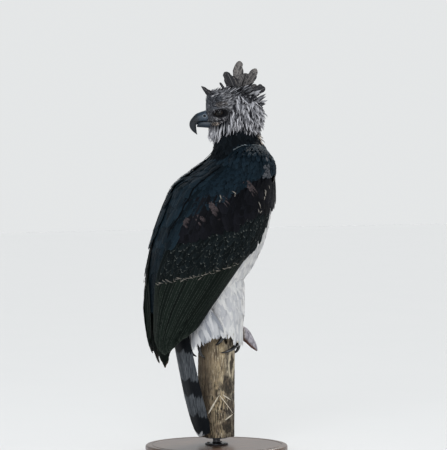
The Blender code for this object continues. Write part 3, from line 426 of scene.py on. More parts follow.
def bent_tube(path, radii, sides, rings):
    """Rings of a tube along a smooth curve through the points of path."""
    path, radii = np.asarray(path, float), np.asarray(radii, float)
    t = np.linspace(0, len(path) - 1, rings)
    table = smooth_table(np.column_stack((np.arange(len(path)), path, radii)))
    at = table(t)
    centre, radius = at[:, :3], at[:, 3]
    along = np.gradient(centre, axis=0)
    along /= np.linalg.norm(along, axis=1)[:, None]
    side = np.cross(along[0], (0.0, 0.0, 1.0))
    side /= np.linalg.norm(side)
    turn = all_round(sides)
    made = []
    for c, a, r in zip(centre, along, radius):
        side = side - a * side.dot(a)
        side /= np.linalg.norm(side)
        lift = np.cross(side, a)
        made.append(c + r * (np.outer(np.cos(turn), side) + np.outer(np.sin(turn), lift)))
    return np.array(made)


def smooth_table(rows):
    """Returns f(t) for an array t: a table's other columns on a smooth curve through its rows."""
    table = np.array(rows, float)
    stations, values = table[:, 0], table[:, 1:]
    slopes = np.gradient(values, stations, axis=0)

    def at(t):
        t = np.clip(np.asarray(t, float), stations[0], stations[-1])
        i = np.clip(np.searchsorted(stations, t, side="right") - 1, 0, len(stations) - 2)
        span = (stations[i + 1] - stations[i])[..., None]
        s = (t[..., None] - stations[i][..., None]) / span
        return (
            values[i] * (2 * s**3 - 3 * s**2 + 1)
            + slopes[i] * span * (s**3 - 2 * s**2 + s)
            + values[i + 1] * (3 * s**2 - 2 * s**3)
            + slopes[i + 1] * span * (s**3 - s**2)
        )

    return at


stub_out = np.array((math.cos(STUB_TURN), math.sin(STUB_TURN), 0.0))
stub_path = [stub_out * reach + (0, 0, height) for reach, height in STUB_PATH]
stub_rings = bent_tube(stub_path, STUB_RADII, 48, 60)
stub_middle = stub_rings.mean(1, keepdims=True)
roughness_of_stub = 0.08 * soft_noise(stub_rings.reshape(-1, 3) * (90, 90, 30), 1.0, 4)
stub_rings = stub_middle + (stub_rings - stub_middle) * (1 + roughness_of_stub.reshape(60, 48, 1))
stub = tube("stub", stub_rings)


def joined_by(operation, body, others, solver="MANIFOLD"):
    """Unites other closed meshes with body, or cuts them from it, and removes them."""
    group = bpy.data.collections.new("operands")
    bpy.context.scene.collection.children.link(group)
    for other in others:
        group.objects.link(other)
    step = body.modifiers.new("join", "BOOLEAN")
    step.operand_type = "COLLECTION"
    step.collection = group
    step.operation = operation
    step.solver = solver
    applied(body)
    for other in others:
        bpy.data.objects.remove(other)
    bpy.data.collections.remove(group)
    return body


def applied(piece):
    """Replaces a piece's mesh by the one that its modifiers make."""
    graph = bpy.context.evaluated_depsgraph_get()
    graph.update()
    mesh = bpy.data.meshes.new_from_object(piece.evaluated_get(graph))
    piece.modifiers.clear()
    piece.data = mesh
    return piece


perch = joined_by("UNION", trunk, [stub])
perch.data.shade_smooth()
perch.data.set_sharp_from_angle(angle=math.radians(50))

dead_wood, tree, shader = new_finish("dead_wood", 0.86, 0.25)
place = own_place(tree)
fibres = clouded(tree, stretched(tree, (1.0, 1.0, 0.22)), 330.0, 6.0, 0.6)
streaks = clouded(tree, stretched(tree, (1.0, 1.0, 0.28)), 85.0, 6.0, 0.65)
patches = clouded(tree, place, 26.0, 5.0, 0.6)
flecks = clouded(tree, stretched(tree, (1.0, 1.0, 0.35)), 260.0, 3.0, 0.5)
split = axes_of(tree, place)
colour = blended(tree, ramped(tree, streaks, 0.38, 0.60), WOOD_BROWN, WOOD_TAN)
colour = blended(tree, ramped(tree, fibres, 0.50, 0.68), colour, WOOD_PALE)
# Painted shade: the trunk's side away from the key light is darkened toward brown
away_side_shade = ramped(tree, split["X"], -0.012, -0.044)
colour = blended(tree, shared(tree, away_side_shade, 0.72), colour, WOOD_BROWN)
to_right = measured(tree, "DOT_PRODUCT", place, tuple(stub_out))
bark_side = shared(tree, ramped(tree, to_right, 0.014, 0.030), ramped(tree, fibres, 0.70, 0.50))
colour = blended(tree, shared(tree, bark_side, 0.92), colour, WOOD_BARK)
rough_foot = ramped(tree, split["Z"], 0.260, 0.150)
rotten = shared(tree, rough_foot, ramped(tree, flecks, 0.48, 0.60))
colour = blended(tree, shared(tree, rotten, 0.85), colour, WOOD_BLACK)
stain = shared(tree, ramped(tree, patches, 0.52, 0.70), 0.7)
colour = blended(tree, stain, colour, WOOD_BROWN)
for bearing, middle, half_width, half_height, cover, rim in SCARS:
    bearing = math.radians(bearing)
    across = (-math.sin(bearing) / half_width, math.cos(bearing) / half_width, 0.0)
    ahead = (math.cos(bearing), math.sin(bearing), 0.0)
    aside, out = (measured(tree, "DOT_PRODUCT", place, way) for way in (across, ahead))
    up = worked(tree, "MULTIPLY_ADD", split["Z"], 1 / half_height, -middle / half_height)
    swayed = worked(tree, "MULTIPLY_ADD", patches, 1.2, aside)
    swayed = worked(tree, "SUBTRACT", swayed, 0.6)
    gap = reach_of(tree, swayed, up)
    gap = worked(tree, "MULTIPLY_ADD", streaks, 1.6, gap)
    gap = worked(tree, "SUBTRACT", gap, 0.8)
    facing = ramped(tree, out, 0.0, 0.010)
    lip = shared(tree, shared(tree, ramped(tree, gap, 1.50, 1.10), facing), rim)
    colour = blended(tree, lip, colour, WOOD_PALE)
    inside = shared(tree, ramped(tree, gap, 1.05, 0.80), facing)
    rotten = blended(tree, ramped(tree, flecks, 0.45, 0.70), WOOD_BLACK, WOOD_BROWN)
    colour = blended(tree, shared(tree, inside, cover), colour, rotten)
bleached = ramped(tree, split["X"], 0.048, 0.062)
stub_colour = blended(tree, ramped(tree, fibres, 0.35, 0.65), STUB_GREY, WOOD_GREY)
facing = node(tree, "ShaderNodeNewGeometry").outputs["Normal"]
facing_up = axes_of(tree, facing)["Z"]
# Painted shade: the stub's downward faces are darkened to a dark red brown
stub_colour = blended(tree, ramped(tree, facing_up, -0.15, -0.55), stub_colour, STUB_UNDERSIDE_SHADE)
colour = blended(tree, bleached, colour, stub_colour)
# Painted shade: the wood is darker where its surface is hollow, in cracks, scars and the hollow
hollow_shade = node(tree, "ShaderNodeNewGeometry").outputs["Pointiness"]
colour = blended(tree, ramped(tree, hollow_shade, 0.49, 0.44), colour, WOOD_BLACK)
painted(shader, colour)
height = worked(tree, "ADD", fibres, flecks)
raised(tree, shader, height, 0.0012, 0.8)
perch.name = "perch_wood"
finished(perch, dead_wood, "dead_wood", "stand_perch")

# Splinters
# Pale slivers of split sapwood still cling to the trunk near its foot, half lifted off it.
SPLINTERS = (
    ((-145, 0.107), (-112, 0.156), 0.0023),
    ((-110, 0.154), (-64, 0.105), 0.0011),
    ((-101, 0.156), (-72, 0.140), 0.0012),
    ((-92, 0.090), (-66, 0.104), 0.0016),
)
SAPWOOD = (0.860, 0.800, 0.700, 1)
splinter_wood, tree, shader = new_finish("splinter_wood", 0.8)
grain = clouded(tree, stretched(tree, (1.0, 1.0, 0.2)), 500.0, 4.0)
painted(shader, blended(tree, ramped(tree, grain, 0.35, 0.65), WOOD_PALE, SAPWOOD))
raised(tree, shader, grain, 0.0004, 0.5)
for number, ((first, low), (last, high), half) in enumerate(SPLINTERS, 1):
    s = np.linspace(0, 1, 9)
    bearing = np.radians(first + (last - first) * s)
    reach = PERCH_RADIUS + 0.0012 + 0.0035 * s**2
    path = np.stack((reach * np.cos(bearing), reach * np.sin(bearing), low + (high - low) * s), -1)
    radii = half * (1 - 0.85 * np.abs(2 * s - 0.8) ** 1.5 / 1.3)
    sliver = tube(f"splinter_{number}", bent_tube(path, radii, 12, 30))
    finished(sliver, splinter_wood, "dead_wood")

# Skin
# One unbroken skin carries the whole coat: breast, back, folded arms of the wings, neck, legs,
# tail root and head, with its brows, its lids round the eye slots and the folds of the gape.
# Cast in one piece from a soft sculpt, it lies a coat's depth inside the finished plumage.
PLUMAGE_ROWS = (
    (0.232, -0.146, 0.032, 0.040),
    (0.300, -0.125, 0.075, 0.070),
    (0.386, -0.105, 0.105, 0.095),
    (0.448, -0.075, 0.125, 0.115),
    (0.532, -0.031, 0.148, 0.135),
    (0.625, 0.0015, 0.146, 0.136),
    (0.663, 0.0135, 0.140, 0.132),
    (0.697, 0.024, 0.130, 0.124),
    (0.737, 0.052, 0.100, 0.112),
    (0.771, 0.070, 0.075, 0.088),
    (0.800, 0.070, 0.060, 0.070),
)
TORSO_ROWS = (
    (0.345, -0.092, 0.020, 0.022),
    (0.356, -0.092, 0.044, 0.044),
    (0.390, -0.078, 0.072, 0.071),
    (0.448, -0.050, 0.115, 0.093),
    (0.532, -0.021, 0.143, 0.112),
    (0.625, 0.0075, 0.1425, 0.117),
    (0.700, 0.031, 0.125, 0.113),
    (0.745, 0.059, 0.096, 0.097),
    (0.772, 0.071, 0.075, 0.080),
    (0.786, 0.072, 0.068, 0.070),
)
NECK_ROWS = (
    (0.735, 0.058, 0.078, 0.084),
    (0.768, 0.062, 0.070, 0.074),
    (0.790, 0.067, 0.066, 0.068),
    (0.815, 0.064, 0.060, 0.060),
    (0.842, 0.056, 0.053, 0.053),
    (0.872, 0.052, 0.046, 0.046),
)
THIGH_ROWS = (
    (0.336, 0.003, 0.0475, 0.042, 0.041),
    (0.360, 0.003, 0.0475, 0.045, 0.045),
    (0.400, 0.001, 0.0460, 0.050, 0.042),
    (0.440, 0.000, 0.0440, 0.054, 0.037),
    (0.475, -0.006, 0.0430, 0.052, 0.036),
)
WING_FRONT = (
    (0.232, 112), (0.286, 97), (0.320, 82), (0.360, 69), (0.400, 62), (0.440, 62),
    (0.488, 63), (0.530, 60), (0.600, 50), (0.660, 43), (0.700, 41), (0.780, 40),
)
WING_BACK = (
    (0.232, 160), (0.300, 168), (0.350, 168), (0.450, 165), (0.550, 158), (0.660, 154),
    (0.740, 146), (0.790, 135),
)
WING_ARM = (
    (0.405, 0.0140, 0.0200),
    (0.440, 0.0140, 0.0230),
    (0.500, 0.0135, 0.0300),
    (0.600, 0.0125, 0.0340),
    (0.700, 0.0090, 0.0340),
    (0.785, 0.0070, 0.0300),
)
ARM_SPAN = (-0.02, 1.06)
ARM_HEIGHTS = (0.405, 0.785)
SHOULDER = {"right": (0.060, -0.077, 0.737), "left": (0.078, 0.077, 0.720)}
SHOULDER_RADII = (0.060, 0.036, 0.058)
TAIL_ROWS = (
    (0.048, -0.0610, -0.031),
    (0.0766, -0.0675, -0.0225),
    (0.126, -0.0795, -0.0150),
    (0.204, -0.0940, -0.006),
    (0.300, -0.1110, 0.001),
    (0.400, -0.1220, 0.000),
    (0.440, -0.1120, 0.000),
)
RUMP_HEIGHTS = (0.300, 0.425)
RUMP_FOOT = 0.290
RUMP_REACH = 0.190
RUMP_RADII = (0.010, 0.024)
HEAD_PLACE = np.array((0.052, 0.004, 0.898))
HEAD_TURN = math.radians(154)
HEAD_ROWS = (
    (-0.062, -0.010, 0.012, 0.012),
    (-0.056, -0.009, 0.030, 0.030),
    (-0.040, -0.007, 0.046, 0.043),
    (-0.015, -0.005, 0.053, 0.050),
    (0.012, -0.004, 0.054, 0.049),
    (0.038, -0.003, 0.052, 0.045),
    (0.057, -0.002, 0.046, 0.037),
    (0.067, 0.002, 0.034, 0.027),
    (0.072, 0.004, 0.016, 0.014),
)
BACK_LIMIT = -0.1950
BACK_EASE = 0.004
COAT_DEPTH = 0.006
FACE_DEPTH = 0.0022
EYE_PLACE = (0.036, 0.0308, -0.0130)
EYE_RADIUS = 0.0145
EYE_AIM = np.array((0.42, 0.90, 0.02)) / np.linalg.norm((0.42, 0.90, 0.02))
LID = 0.0013
EYE_OPENING = (0.0128, 0.0050, 0.0072)
SOCKET_PLACE = (0.038, 0.0482, -0.0140)
SOCKET_RADII = (0.0205, 0.0088, 0.0120)
BROW = (
    (0.064, 0.020, 0.003), (0.052, 0.0350, 0.0005), (0.037, 0.0440, 0.0008), (0.020, 0.0470, -0.001)
)
BROW_RADII = (0.0040, 0.0054, 0.0056, 0.0030)
MOUTH = ((0.068, -0.0352), (0.058, -0.0350), (0.048, -0.0344), (0.038, -0.0332), (0.029, -0.031))
MOUTH_RADII = (0.0011, 0.0012, 0.0012, 0.0009, 0.0004)
BODY_VOXEL = 0.004
HEAD_VOXEL = 0.0011
SIDES = {"right": -1, "left": 1}

wing_front, wing_back = smooth_table(WING_FRONT), smooth_table(WING_BACK)
wing_arm, tail_rows, head_rows = (smooth_table(rows) for rows in (WING_ARM, TAIL_ROWS, HEAD_ROWS))


def level_shell(rows, shrink=0.0):
    """Returns f(turn, height): points on level ellipses from centre X, half depth and half width."""
    table = smooth_table(rows)

    def at(turn, height):
        value = table(height)
        x, depth, width = value[..., 0], value[..., 1] - shrink, value[..., 2] - shrink
        return np.stack((x + depth * np.cos(turn), width * np.sin(turn), height + 0 * turn), -1)

    return at


def plumage(turn, height):
    """Points of the finished plumage's level outline, held to the bird's own length at the back."""
    points = full_plumage(turn, height)
    over = points[..., 0] - BACK_LIMIT
    points[..., 0] = BACK_LIMIT + (over + np.sqrt(over**2 + BACK_EASE**2)) / 2
    return points


full_plumage = level_shell(PLUMAGE_ROWS)


def wing_shell(side):
    """Returns f(across, height) over a folded wing: across runs from its front to its back edge."""

    def at(across, height):
        front, back = wing_front(height)[..., 0], wing_back(height)[..., 0]
        return plumage(side * np.radians(front + (back - front) * across), height)

    return at


def thigh_shell(side, shrink=0.0):
    """Returns f(turn, height) over a thigh: turn counts from straight ahead to the outside."""
    table = smooth_table(THIGH_ROWS)

    def at(turn, height):
        x, y, depth, width = np.moveaxis(table(height), -1, 0)
        across = side * (y + (width - shrink) * np.sin(turn))
        return np.stack((x + (depth - shrink) * np.cos(turn), across, height + 0 * turn), -1)

    return at


def spun(points, angle):
    """Points turned about the upright."""
    cosine, sine = math.cos(angle), math.sin(angle)
    x = points[..., 0] * cosine - points[..., 1] * sine
    y = points[..., 0] * sine + points[..., 1] * cosine
    return np.stack((x, y, points[..., 2]), -1)


def mirrored(points, side):
    """Points of the head's own frame, carried to the named side."""
    return np.array(points) * (1, side, 1)


def from_head(points):
    """Carries points of the head's own frame, X to the bill and Z up, into the model's frame."""
    return spun(np.asarray(points, float), HEAD_TURN) + HEAD_PLACE


def head_shell(turn, reach, shrink=0.0):
    """Points of the head's surface: turn counts from the crown to the left cheek."""
    middle, tall, wide = np.moveaxis(head_rows(reach), -1, 0)
    across = (wide - shrink) * np.sin(turn)
    rise = middle + (tall - shrink) * np.cos(turn)
    return from_head(np.stack((reach + 0 * turn, across, rise), -1))


def ball(name, place, radii, spin=0.0, rings=24, sides=48):
    """A closed ellipsoid, its axes turned about the upright by spin."""
    polar, turn = np.meshgrid(
        np.linspace(0, math.pi, rings + 2)[1:-1],
        all_round(sides),
        indexing="ij",
    )
    local = np.stack((np.sin(polar) * np.cos(turn), np.sin(polar) * np.sin(turn), np.cos(polar)), -1)
    return tube(name, spun(local * radii, spin) + np.asarray(place, float))


def loft_of(name, shell, stations, sides=72, **settings):
    """A closed skin over a shell's rings at the given stations."""
    turn = all_round(sides)
    grid, along = np.meshgrid(turn, np.asarray(stations, float))
    return tube(name, shell(grid, along, **settings))


def remeshed(piece, voxel, passes):
    """One even skin over the piece's overlapping parts, smoothed a few times."""
    step = piece.modifiers.new("even", "REMESH")
    step.mode = "VOXEL"
    step.voxel_size = voxel
    if passes:
        soften = piece.modifiers.new("soften", "SMOOTH")
        soften.factor = 0.5
        soften.iterations = passes
    return applied(piece)


def joined(name, pieces):
    """One object that holds all the pieces' meshes."""
    points, faces, start = [], [], 0
    for piece in pieces:
        mesh = piece.data
        co = np.empty(len(mesh.vertices) * 3, np.float32)
        mesh.vertices.foreach_get("co", co)
        index = np.empty(len(mesh.loops), np.int32)
        mesh.loops.foreach_get("vertex_index", index)
        points.append(co.reshape(-1, 3))
        faces.append(index.reshape(-1, 3) + start)
        start += len(mesh.vertices)
        bpy.data.objects.remove(piece)
    return mesh_piece(name, np.concatenate(points), np.concatenate(faces))


def arm_plate(side):
    """The folded arm under a wing's feathers, as a curved plate along the body."""
    across, height = np.meshgrid(np.linspace(*ARM_SPAN, 40), np.linspace(*ARM_HEIGHTS, 50))
    shell = wing_shell(side)
    surface = shell(across, height)
    middle = plumage(np.zeros_like(across), height)
    middle[..., 0] -= smooth_table(PLUMAGE_ROWS)(height)[..., 1]
    inward = middle - surface
    inward /= np.linalg.norm(inward, axis=-1)[..., None]
    outer = surface + inward * wing_arm(height)[..., :1]
    inner = surface + inward * wing_arm(height)[..., 1:2]
    return tube("arm", np.concatenate((outer, inner[:, ::-1]), 1))


body_parts = [
    loft_of("trunk_of_body", level_shell(TORSO_ROWS, COAT_DEPTH), np.linspace(0.349, 0.786, 60)),
    loft_of("nape", level_shell(NECK_ROWS, COAT_DEPTH), np.linspace(0.735, 0.870, 24)),
]
for name, side in SIDES.items():
    body_parts.append(loft_of("leg", thigh_shell(side, COAT_DEPTH), np.linspace(0.342, 0.475, 24)))
    body_parts.append(arm_plate(side))
    body_parts.append(ball("arm_top", SHOULDER[name], SHOULDER_RADII))
rump_heights = np.linspace(*RUMP_HEIGHTS, 14)
rump = tail_rows(rump_heights)
rump_rings = []
for height, (x, y) in zip(rump_heights, rump):
    swell = math.sin(math.pi * (height - RUMP_FOOT) / RUMP_REACH) ** 0.5
    turn = all_round(48)
    deep, wide = RUMP_RADII[0] * swell, RUMP_RADII[1] * swell
    rump_rings.append(
        np.stack((x + deep * np.cos(turn), y + wide * np.sin(turn), height + 0 * turn), -1)
    )
body_parts.append(tube("rump", rump_rings))
body = remeshed(joined("body", body_parts), BODY_VOXEL, 4)

skull = loft_of("skull", head_shell, np.linspace(-0.0605, 0.0705, 80), shrink=FACE_DEPTH)
bowls = [
    ball("bowl", from_head(mirrored(SOCKET_PLACE, side)), SOCKET_RADII, HEAD_TURN)
    for side in SIDES.values()
]
skull = joined_by("DIFFERENCE", skull, bowls)
head_parts = [skull]
for side in SIDES.values():
    eye_centre = from_head(mirrored(EYE_PLACE, side))
    head_parts.append(ball("lids", eye_centre, [EYE_RADIUS + LID] * 3))
    brow_path = from_head(mirrored(BROW, side))
    head_parts.append(tube("brow", bent_tube(brow_path, BROW_RADII, 24, 30)))
skull = joined_by("UNION", skull, head_parts[1:])
skull = remeshed(skull, HEAD_VOXEL, 3)


def eye_slot(side):
    """The almond-shaped slot between the lids, from inside the eye outward."""
    aim = mirrored(EYE_AIM, side)
    forward = np.array((1.0, 0, 0)) - aim * aim[0]
    forward /= np.linalg.norm(forward)
    upward = np.array((0, 0, 1.0))
    half_length, half_up, half_down = EYE_OPENING
    turn = all_round(48)
    tall = np.where(np.sin(turn) > 0, half_up, half_down)[:, None]
    corner = np.abs(np.sin(turn))[:, None] ** 1.15 * np.sign(np.sin(turn))[:, None]
    offset = half_length * np.cos(turn)[:, None] * (forward - 0.12 * upward) + tall * corner * upward
    rings = [mirrored(EYE_PLACE, side) + aim * depth + offset for depth in (0.004, 0.030)]
    return tube("slot", from_head(rings))


def cheek_point(reach, rise, side, proud=0.0):
    """A point of the cheek at a forward distance and a height of the head's frame."""
    middle, tall, wide = head_rows(np.array(reach))
    out = (wide - FACE_DEPTH) * math.sqrt(max(0.0, 1 - ((rise - middle) / (tall - FACE_DEPTH)) ** 2))
    return from_head(np.array((reach, side * (out + proud), rise)))


cutters = []
for side in SIDES.values():
    eye_centre = from_head(mirrored(EYE_PLACE, side))
    cutters.append(ball("socket", eye_centre, [EYE_RADIUS + 0.0002] * 3, rings=48, sides=96))
    cutters.append(eye_slot(side))
    mouth_path = [cheek_point(reach, rise, side, 0.0002) for reach, rise in MOUTH]
    cutters.append(tube("mouth", bent_tube(mouth_path, MOUTH_RADII, 12, 40)))
skull = joined_by("DIFFERENCE", skull, cutters)
skin = joined_by("UNION", body, [skull])


def largest_only(piece):
    """Keeps the largest closed surface of a mesh and drops what is loose."""
    work = bmesh.new()
    work.from_mesh(piece.data)
    islands, seen = [], set()
    for start in work.verts:
        if start.index in seen:
            continue
        seen.add(start.index)
        island, front = [], [start]
        while front:
            vert = front.pop()
            island.append(vert)
            for edge in vert.link_edges:
                other = edge.other_vert(vert)
                if other.index not in seen:
                    seen.add(other.index)
                    front.append(other)
        islands.append(island)
    islands.sort(key=len)
    bmesh.ops.delete(work, geom=[v for island in islands[:-1] for v in island], context="VERTS")
    work.to_mesh(piece.data)
    work.free()
    return piece


skin = largest_only(skin)
skin.name = "skin"
skin.data.shade_smooth()
skin.data.set_sharp_from_angle(angle=math.radians(60))

SLATE = (0.0048, 0.0085, 0.0115, 1)
SLATE_BLUE = (0.0120, 0.0250, 0.0370, 1)
BELLY_WHITE = (0.70, 0.69, 0.68, 1)
HEAD_GREY = (0.20, 0.20, 0.21, 1)
HEAD_DARK = (0.050, 0.052, 0.058, 1)
# Middle ahead and up in the head's frame, half length and height, slope, colour and cover
HEAD_MARKS = (
    ((0.053, 0.020), (0.024, 0.026), 0, (0.062, 0.068, 0.080, 1), 0.85),
    ((0.062, -0.014), (0.014, 0.018), 0, (0.060, 0.064, 0.072, 1), 0.80),
    ((0.033, 0.0100), (0.017, 0.0075), -8, (0.120, 0.104, 0.094, 1), 0.75),
    ((0.029, -0.0290), (0.019, 0.0065), 18, (0.330, 0.320, 0.330, 1), 0.70),
    ((0.044, -0.0425), (0.014, 0.0055), 0, (0.420, 0.330, 0.265, 1), 0.80),
    ((0.050, -0.0342), (0.026, 0.0022), -6, (0.006, 0.006, 0.007, 1), 1.0),
    # The eye's dark almond: dark skin round the eye with the painted shadow of the socket under the brow
    ((0.0360, -0.0142), (0.0225, 0.0125), -6, (0.003, 0.003, 0.004, 1), 1.0),
)


def moved(tree, operation, *vectors):
    """A vector from other vectors."""
    inputs = dict(enumerate(vectors))
    return node(tree, "ShaderNodeVectorMath", inputs, operation=operation).outputs[0]


def head_marked(tree, colour):
    """A colour with the dark forehead, lores, eye and gape and the tan chin of both sides on it; the
    eye's dark almond is partly painted shadow of the socket under the brow.
    """
    place = own_place(tree)
    ragged = node(tree, "ShaderNodeTexNoise", {"Vector": place, "Scale": 260.0}).outputs["Color"]
    swayed = moved(tree, "MULTIPLY_ADD", ragged, (0.004,) * 3, place)
    for (ahead, up), (long, tall), slope, shade, cover in HEAD_MARKS:
        lean = math.radians(slope)
        middle = from_head((ahead, 0, up)) + 0.002
        forward = np.array((math.cos(lean), 0, math.sin(lean)))
        upward = np.array((-math.sin(lean), 0, math.cos(lean)))
        away = moved(tree, "SUBTRACT", swayed, tuple(middle))
        parts = []
        for way, reach in ((forward, long), (upward, tall)):
            way = (from_head(way) - HEAD_PLACE) / reach
            parts.append(measured(tree, "DOT_PRODUCT", away, tuple(way)))
        gap = reach_of(tree, *parts)
        share = shared(tree, ramped(tree, gap, 1.12, 0.82), cover)
        colour = blended(tree, share, colour, shade)
    return colour


plumed_skin, tree, shader = new_finish("plumed_skin", 0.75, 0.15)
place = own_place(tree)
split = axes_of(tree, place)
edge_noise = clouded(tree, place, 60.0)
ragged = worked(tree, "MULTIPLY", edge_noise, 0.02)
height = worked(tree, "ADD", split["Z"], ragged)
down_tufts = clouded(tree, stretched(tree, (1.0, 1.0, 0.25)), 420.0, 3.0)
white_down = blended(tree, down_tufts, (0.42, 0.42, 0.44, 1), BELLY_WHITE)
slate_down = blended(tree, down_tufts, SLATE, SLATE_BLUE)
grey_down = head_marked(tree, blended(tree, down_tufts, HEAD_DARK, HEAD_GREY))
colour = blended(tree, ramped(tree, height, 0.700, 0.716), white_down, slate_down)
back_line = worked(tree, "ADD", split["X"], 0.010)
back = shared(tree, ramped(tree, back_line, -0.010, -0.030), ramped(tree, height, 0.40, 0.42))
from_middle = worked(tree, "ABSOLUTE", split["Y"])
arm = shared(tree, ramped(tree, from_middle, 0.085, 0.095), ramped(tree, height, 0.64, 0.65))
back = worked(tree, "MAXIMUM", back, arm, held=True)
colour = blended(tree, back, colour, slate_down)
colour = blended(tree, ramped(tree, height, 0.862, 0.872), colour, grey_down)
painted(shader, colour)
raised(tree, shader, down_tufts, 0.0006, 0.6)
clothed = [part + "_" + name for part in ("wing", "thigh") for name in SIDES]
finished(skin, plumed_skin, "white_plumage", "torso", "neck", "head", "tail", *clothed)

# Breast and belly
# Soft white contour feathers in overlapping rows, each a thin vane with a loose tip. They are
# slate black in the band across the upper breast. Laid from the legs up, like shingles.
BODY_SHARE = np.array((0.0, 0.30, 0.60, 0.86, 1.0))
BODY_FEATHER = np.array((0.60, 0.95, 1.00, 0.62, 0.10))
BREAST_ROW = 0.0085
BREAST_LENGTH = 0.036
BREAST_HALF_WIDTH = 0.0072
BAND_HEIGHT = 0.705


def on_shell(shell, u, v, outward=1):
    """Points of a shell, its slopes along both coordinates and its outward normals."""
    small = 1e-4
    slope_u = (shell(u + small, v) - shell(u - small, v)) / (2 * small)
    slope_v = (shell(u, v + small) - shell(u, v - small)) / (2 * small)
    normal = unit(np.cross(slope_u, slope_v)) * outward
    return shell(u, v), slope_u, slope_v, normal


def unit(vectors):
    """Vectors of length one."""
    return vectors / np.linalg.norm(vectors, axis=-1, keepdims=True)


def dot(a, b):
    """Dot products of rows of vectors."""
    return (a * b).sum(-1)


def laid(shell, u, v, length, share, heading=None, outward=1):
    """Lines of feathers laid over a shell from (u, v): points, directions and normals.

    A line follows heading over the shell, or runs down it where none is given.
    """
    u, v = np.array(u, float), np.array(v, float)
    points, ways, normals = [], [], []
    for k, part in enumerate(share):
        point, slope_u, slope_v, normal = on_shell(shell, u, v, outward)
        way = -slope_v if heading is None else heading - normal * dot(heading, normal)[:, None]
        way = unit(way)
        points.append(point)
        ways.append(way)
        normals.append(normal)
        if k + 1 < len(share):
            step = (share[k + 1] - part) * length
            uu, uv, vv = dot(slope_u, slope_u), dot(slope_u, slope_v), dot(slope_v, slope_v)
            p, q = dot(way, slope_u) * step, dot(way, slope_v) * step
            u = u + (p * vv - q * uv) / (uu * vv - uv**2)
            v = v + (q * uu - p * uv) / (uu * vv - uv**2)
    return np.stack(points, 1), np.stack(ways, 1), np.stack(normals, 1)


def turned_about(vectors, axes, angle):
    """Vectors turned about unit axes by an angle each."""
    cosine, sine = np.cos(angle)[:, None], np.sin(angle)[:, None]
    along = axes * dot(vectors, axes)[:, None]
    return vectors * cosine + np.cross(axes, vectors) * sine + along * (1 - cosine)


def rows_over(shell, heights, first, last, spacing, draw):
    """Places in staggered rows over a shell, each row from its first to its last turn."""
    turns, levels = [], []
    for r, (height, low, high) in enumerate(zip(heights, first, last)):
        line = shell(np.linspace(low, high, 24), np.full(24, height))
        reach = np.linalg.norm(np.diff(line, axis=0), axis=1).sum()
        count = max(2, round(reach / spacing))
        part = (np.arange(count) + 0.5 * (r % 2) + draw.uniform(-0.22, 0.22, count)) / count
        turns.append(low + (high - low) * part)
        levels.append(height + draw.uniform(-0.22, 0.22, count) * spacing)
    return np.concatenate(turns), np.concatenate(levels)


def vanes(name, lines, half_width, shape, rise, tint, place, columns=3, thickness=0.00035,
          camber=0.12, lean=0.0, fray=0.05, patch=0.003, seed=1):
    """One mesh of thin closed feathers along lines, with their shares of length and width kept.

    half_width, lean and tint hold a value a feather, shape and rise a value a station, and
    place the spot of each feather's root on the unwrapped skin.
    """
    points, way, normal = lines
    count, stations = points.shape[:2]
    random_edge = np.random.default_rng(seed)
    side = np.cross(normal, way)
    lean = np.broadcast_to(np.asarray(lean, float), (count,))[:, None, None]
    across = side * np.cos(lean) + normal * np.sin(lean)
    outward = normal * np.cos(lean) - side * np.sin(lean)
    width = np.asarray(half_width)[:, None] * np.broadcast_to(shape, (count, stations))
    centre = points + normal * np.broadcast_to(rise, (count, stations))[..., None]
    column = np.linspace(-1, 1, columns)
    inner = column[-2:0:-1]
    place_across = np.concatenate((column, inner))
    top = np.concatenate((np.ones(columns), np.zeros(columns - 2)))
    round_off = 1 - place_across**2
    ragged = 1 + random_edge.uniform(-fray, fray, (count, stations, 2))
    reach = width[..., None] * place_across * np.where(
        place_across < 0, ragged[..., :1], ragged[..., 1:]
    )
    swell = camber * width[..., None] * round_off + thickness * (2 * top - 1) * np.sqrt(round_off)
    rings = (
        centre[:, :, None]
        + across[:, :, None] * reach[..., None]
        + outward[:, :, None] * swell[..., None]
    )
    sides = 2 * columns - 2
    k = np.arange(sides)
    after = (k + 1) % sides
    faces = []
    for s in range(stations - 1):
        a, b = s * sides + k, s * sides + after
        low_left = np.stack((b, a, a + sides), -1)
        low_right = np.stack((b, a + sides, b + sides), -1)
        high_left = np.stack((b, a, b + sides), -1)
        high_right = np.stack((a, a + sides, b + sides), -1)
        rising = (place_across[k] + place_across[after] < 0)[:, None]
        faces += [np.where(rising, low_left, high_left), np.where(rising, low_right, high_right)]
    fan = np.arange(1, sides - 1)
    last = (stations - 1) * sides
    faces.append(np.stack((np.zeros_like(fan), fan, fan + 1), -1))
    faces.append(np.stack((np.full_like(fan, last), last + fan + 1, last + fan), -1))
    faces = np.concatenate(faces)
    block = np.arange(count)[:, None, None] * stations * sides
    piece = mesh_piece(name, rings.reshape(-1, 3), (faces + block).reshape(-1, 3), 50)
    share = np.linspace(0, 1, stations)
    kept = np.empty((count, stations, sides, 3), np.float32)
    kept[..., 0] = share[None, :, None]
    kept[..., 1] = place_across
    kept[..., 2] = np.asarray(tint)[:, None, None]
    plume = piece.data.attributes.new("plume", "FLOAT_VECTOR", "POINT")
    plume.data.foreach_set("vector", kept.ravel())
    spot = np.empty((count, stations, sides, 2))
    patch = np.broadcast_to(patch, (2,))
    spot[..., 0] = np.asarray(place)[:, None, None, 0] + patch[0] * 0.5 * place_across
    spot[..., 1] = np.asarray(place)[:, None, None, 1] + patch[1] * (share[None, :, None] - 0.5)
    corners = (faces + block).ravel()
    layer = piece.data.uv_layers.new(name="OFBake")
    layer.data.foreach_set("uv", spot.reshape(-1, 2)[corners].astype(np.float32).ravel())
    return piece


def unwrapped(u, v):
    """Places on the unwrapped shell, from its two coordinates."""
    spots = []
    for values in (u, v):
        low, high = values.min(), values.max()
        spots.append(0.01 + 0.98 * (values - low) / (high - low))
    return np.stack(spots, -1)


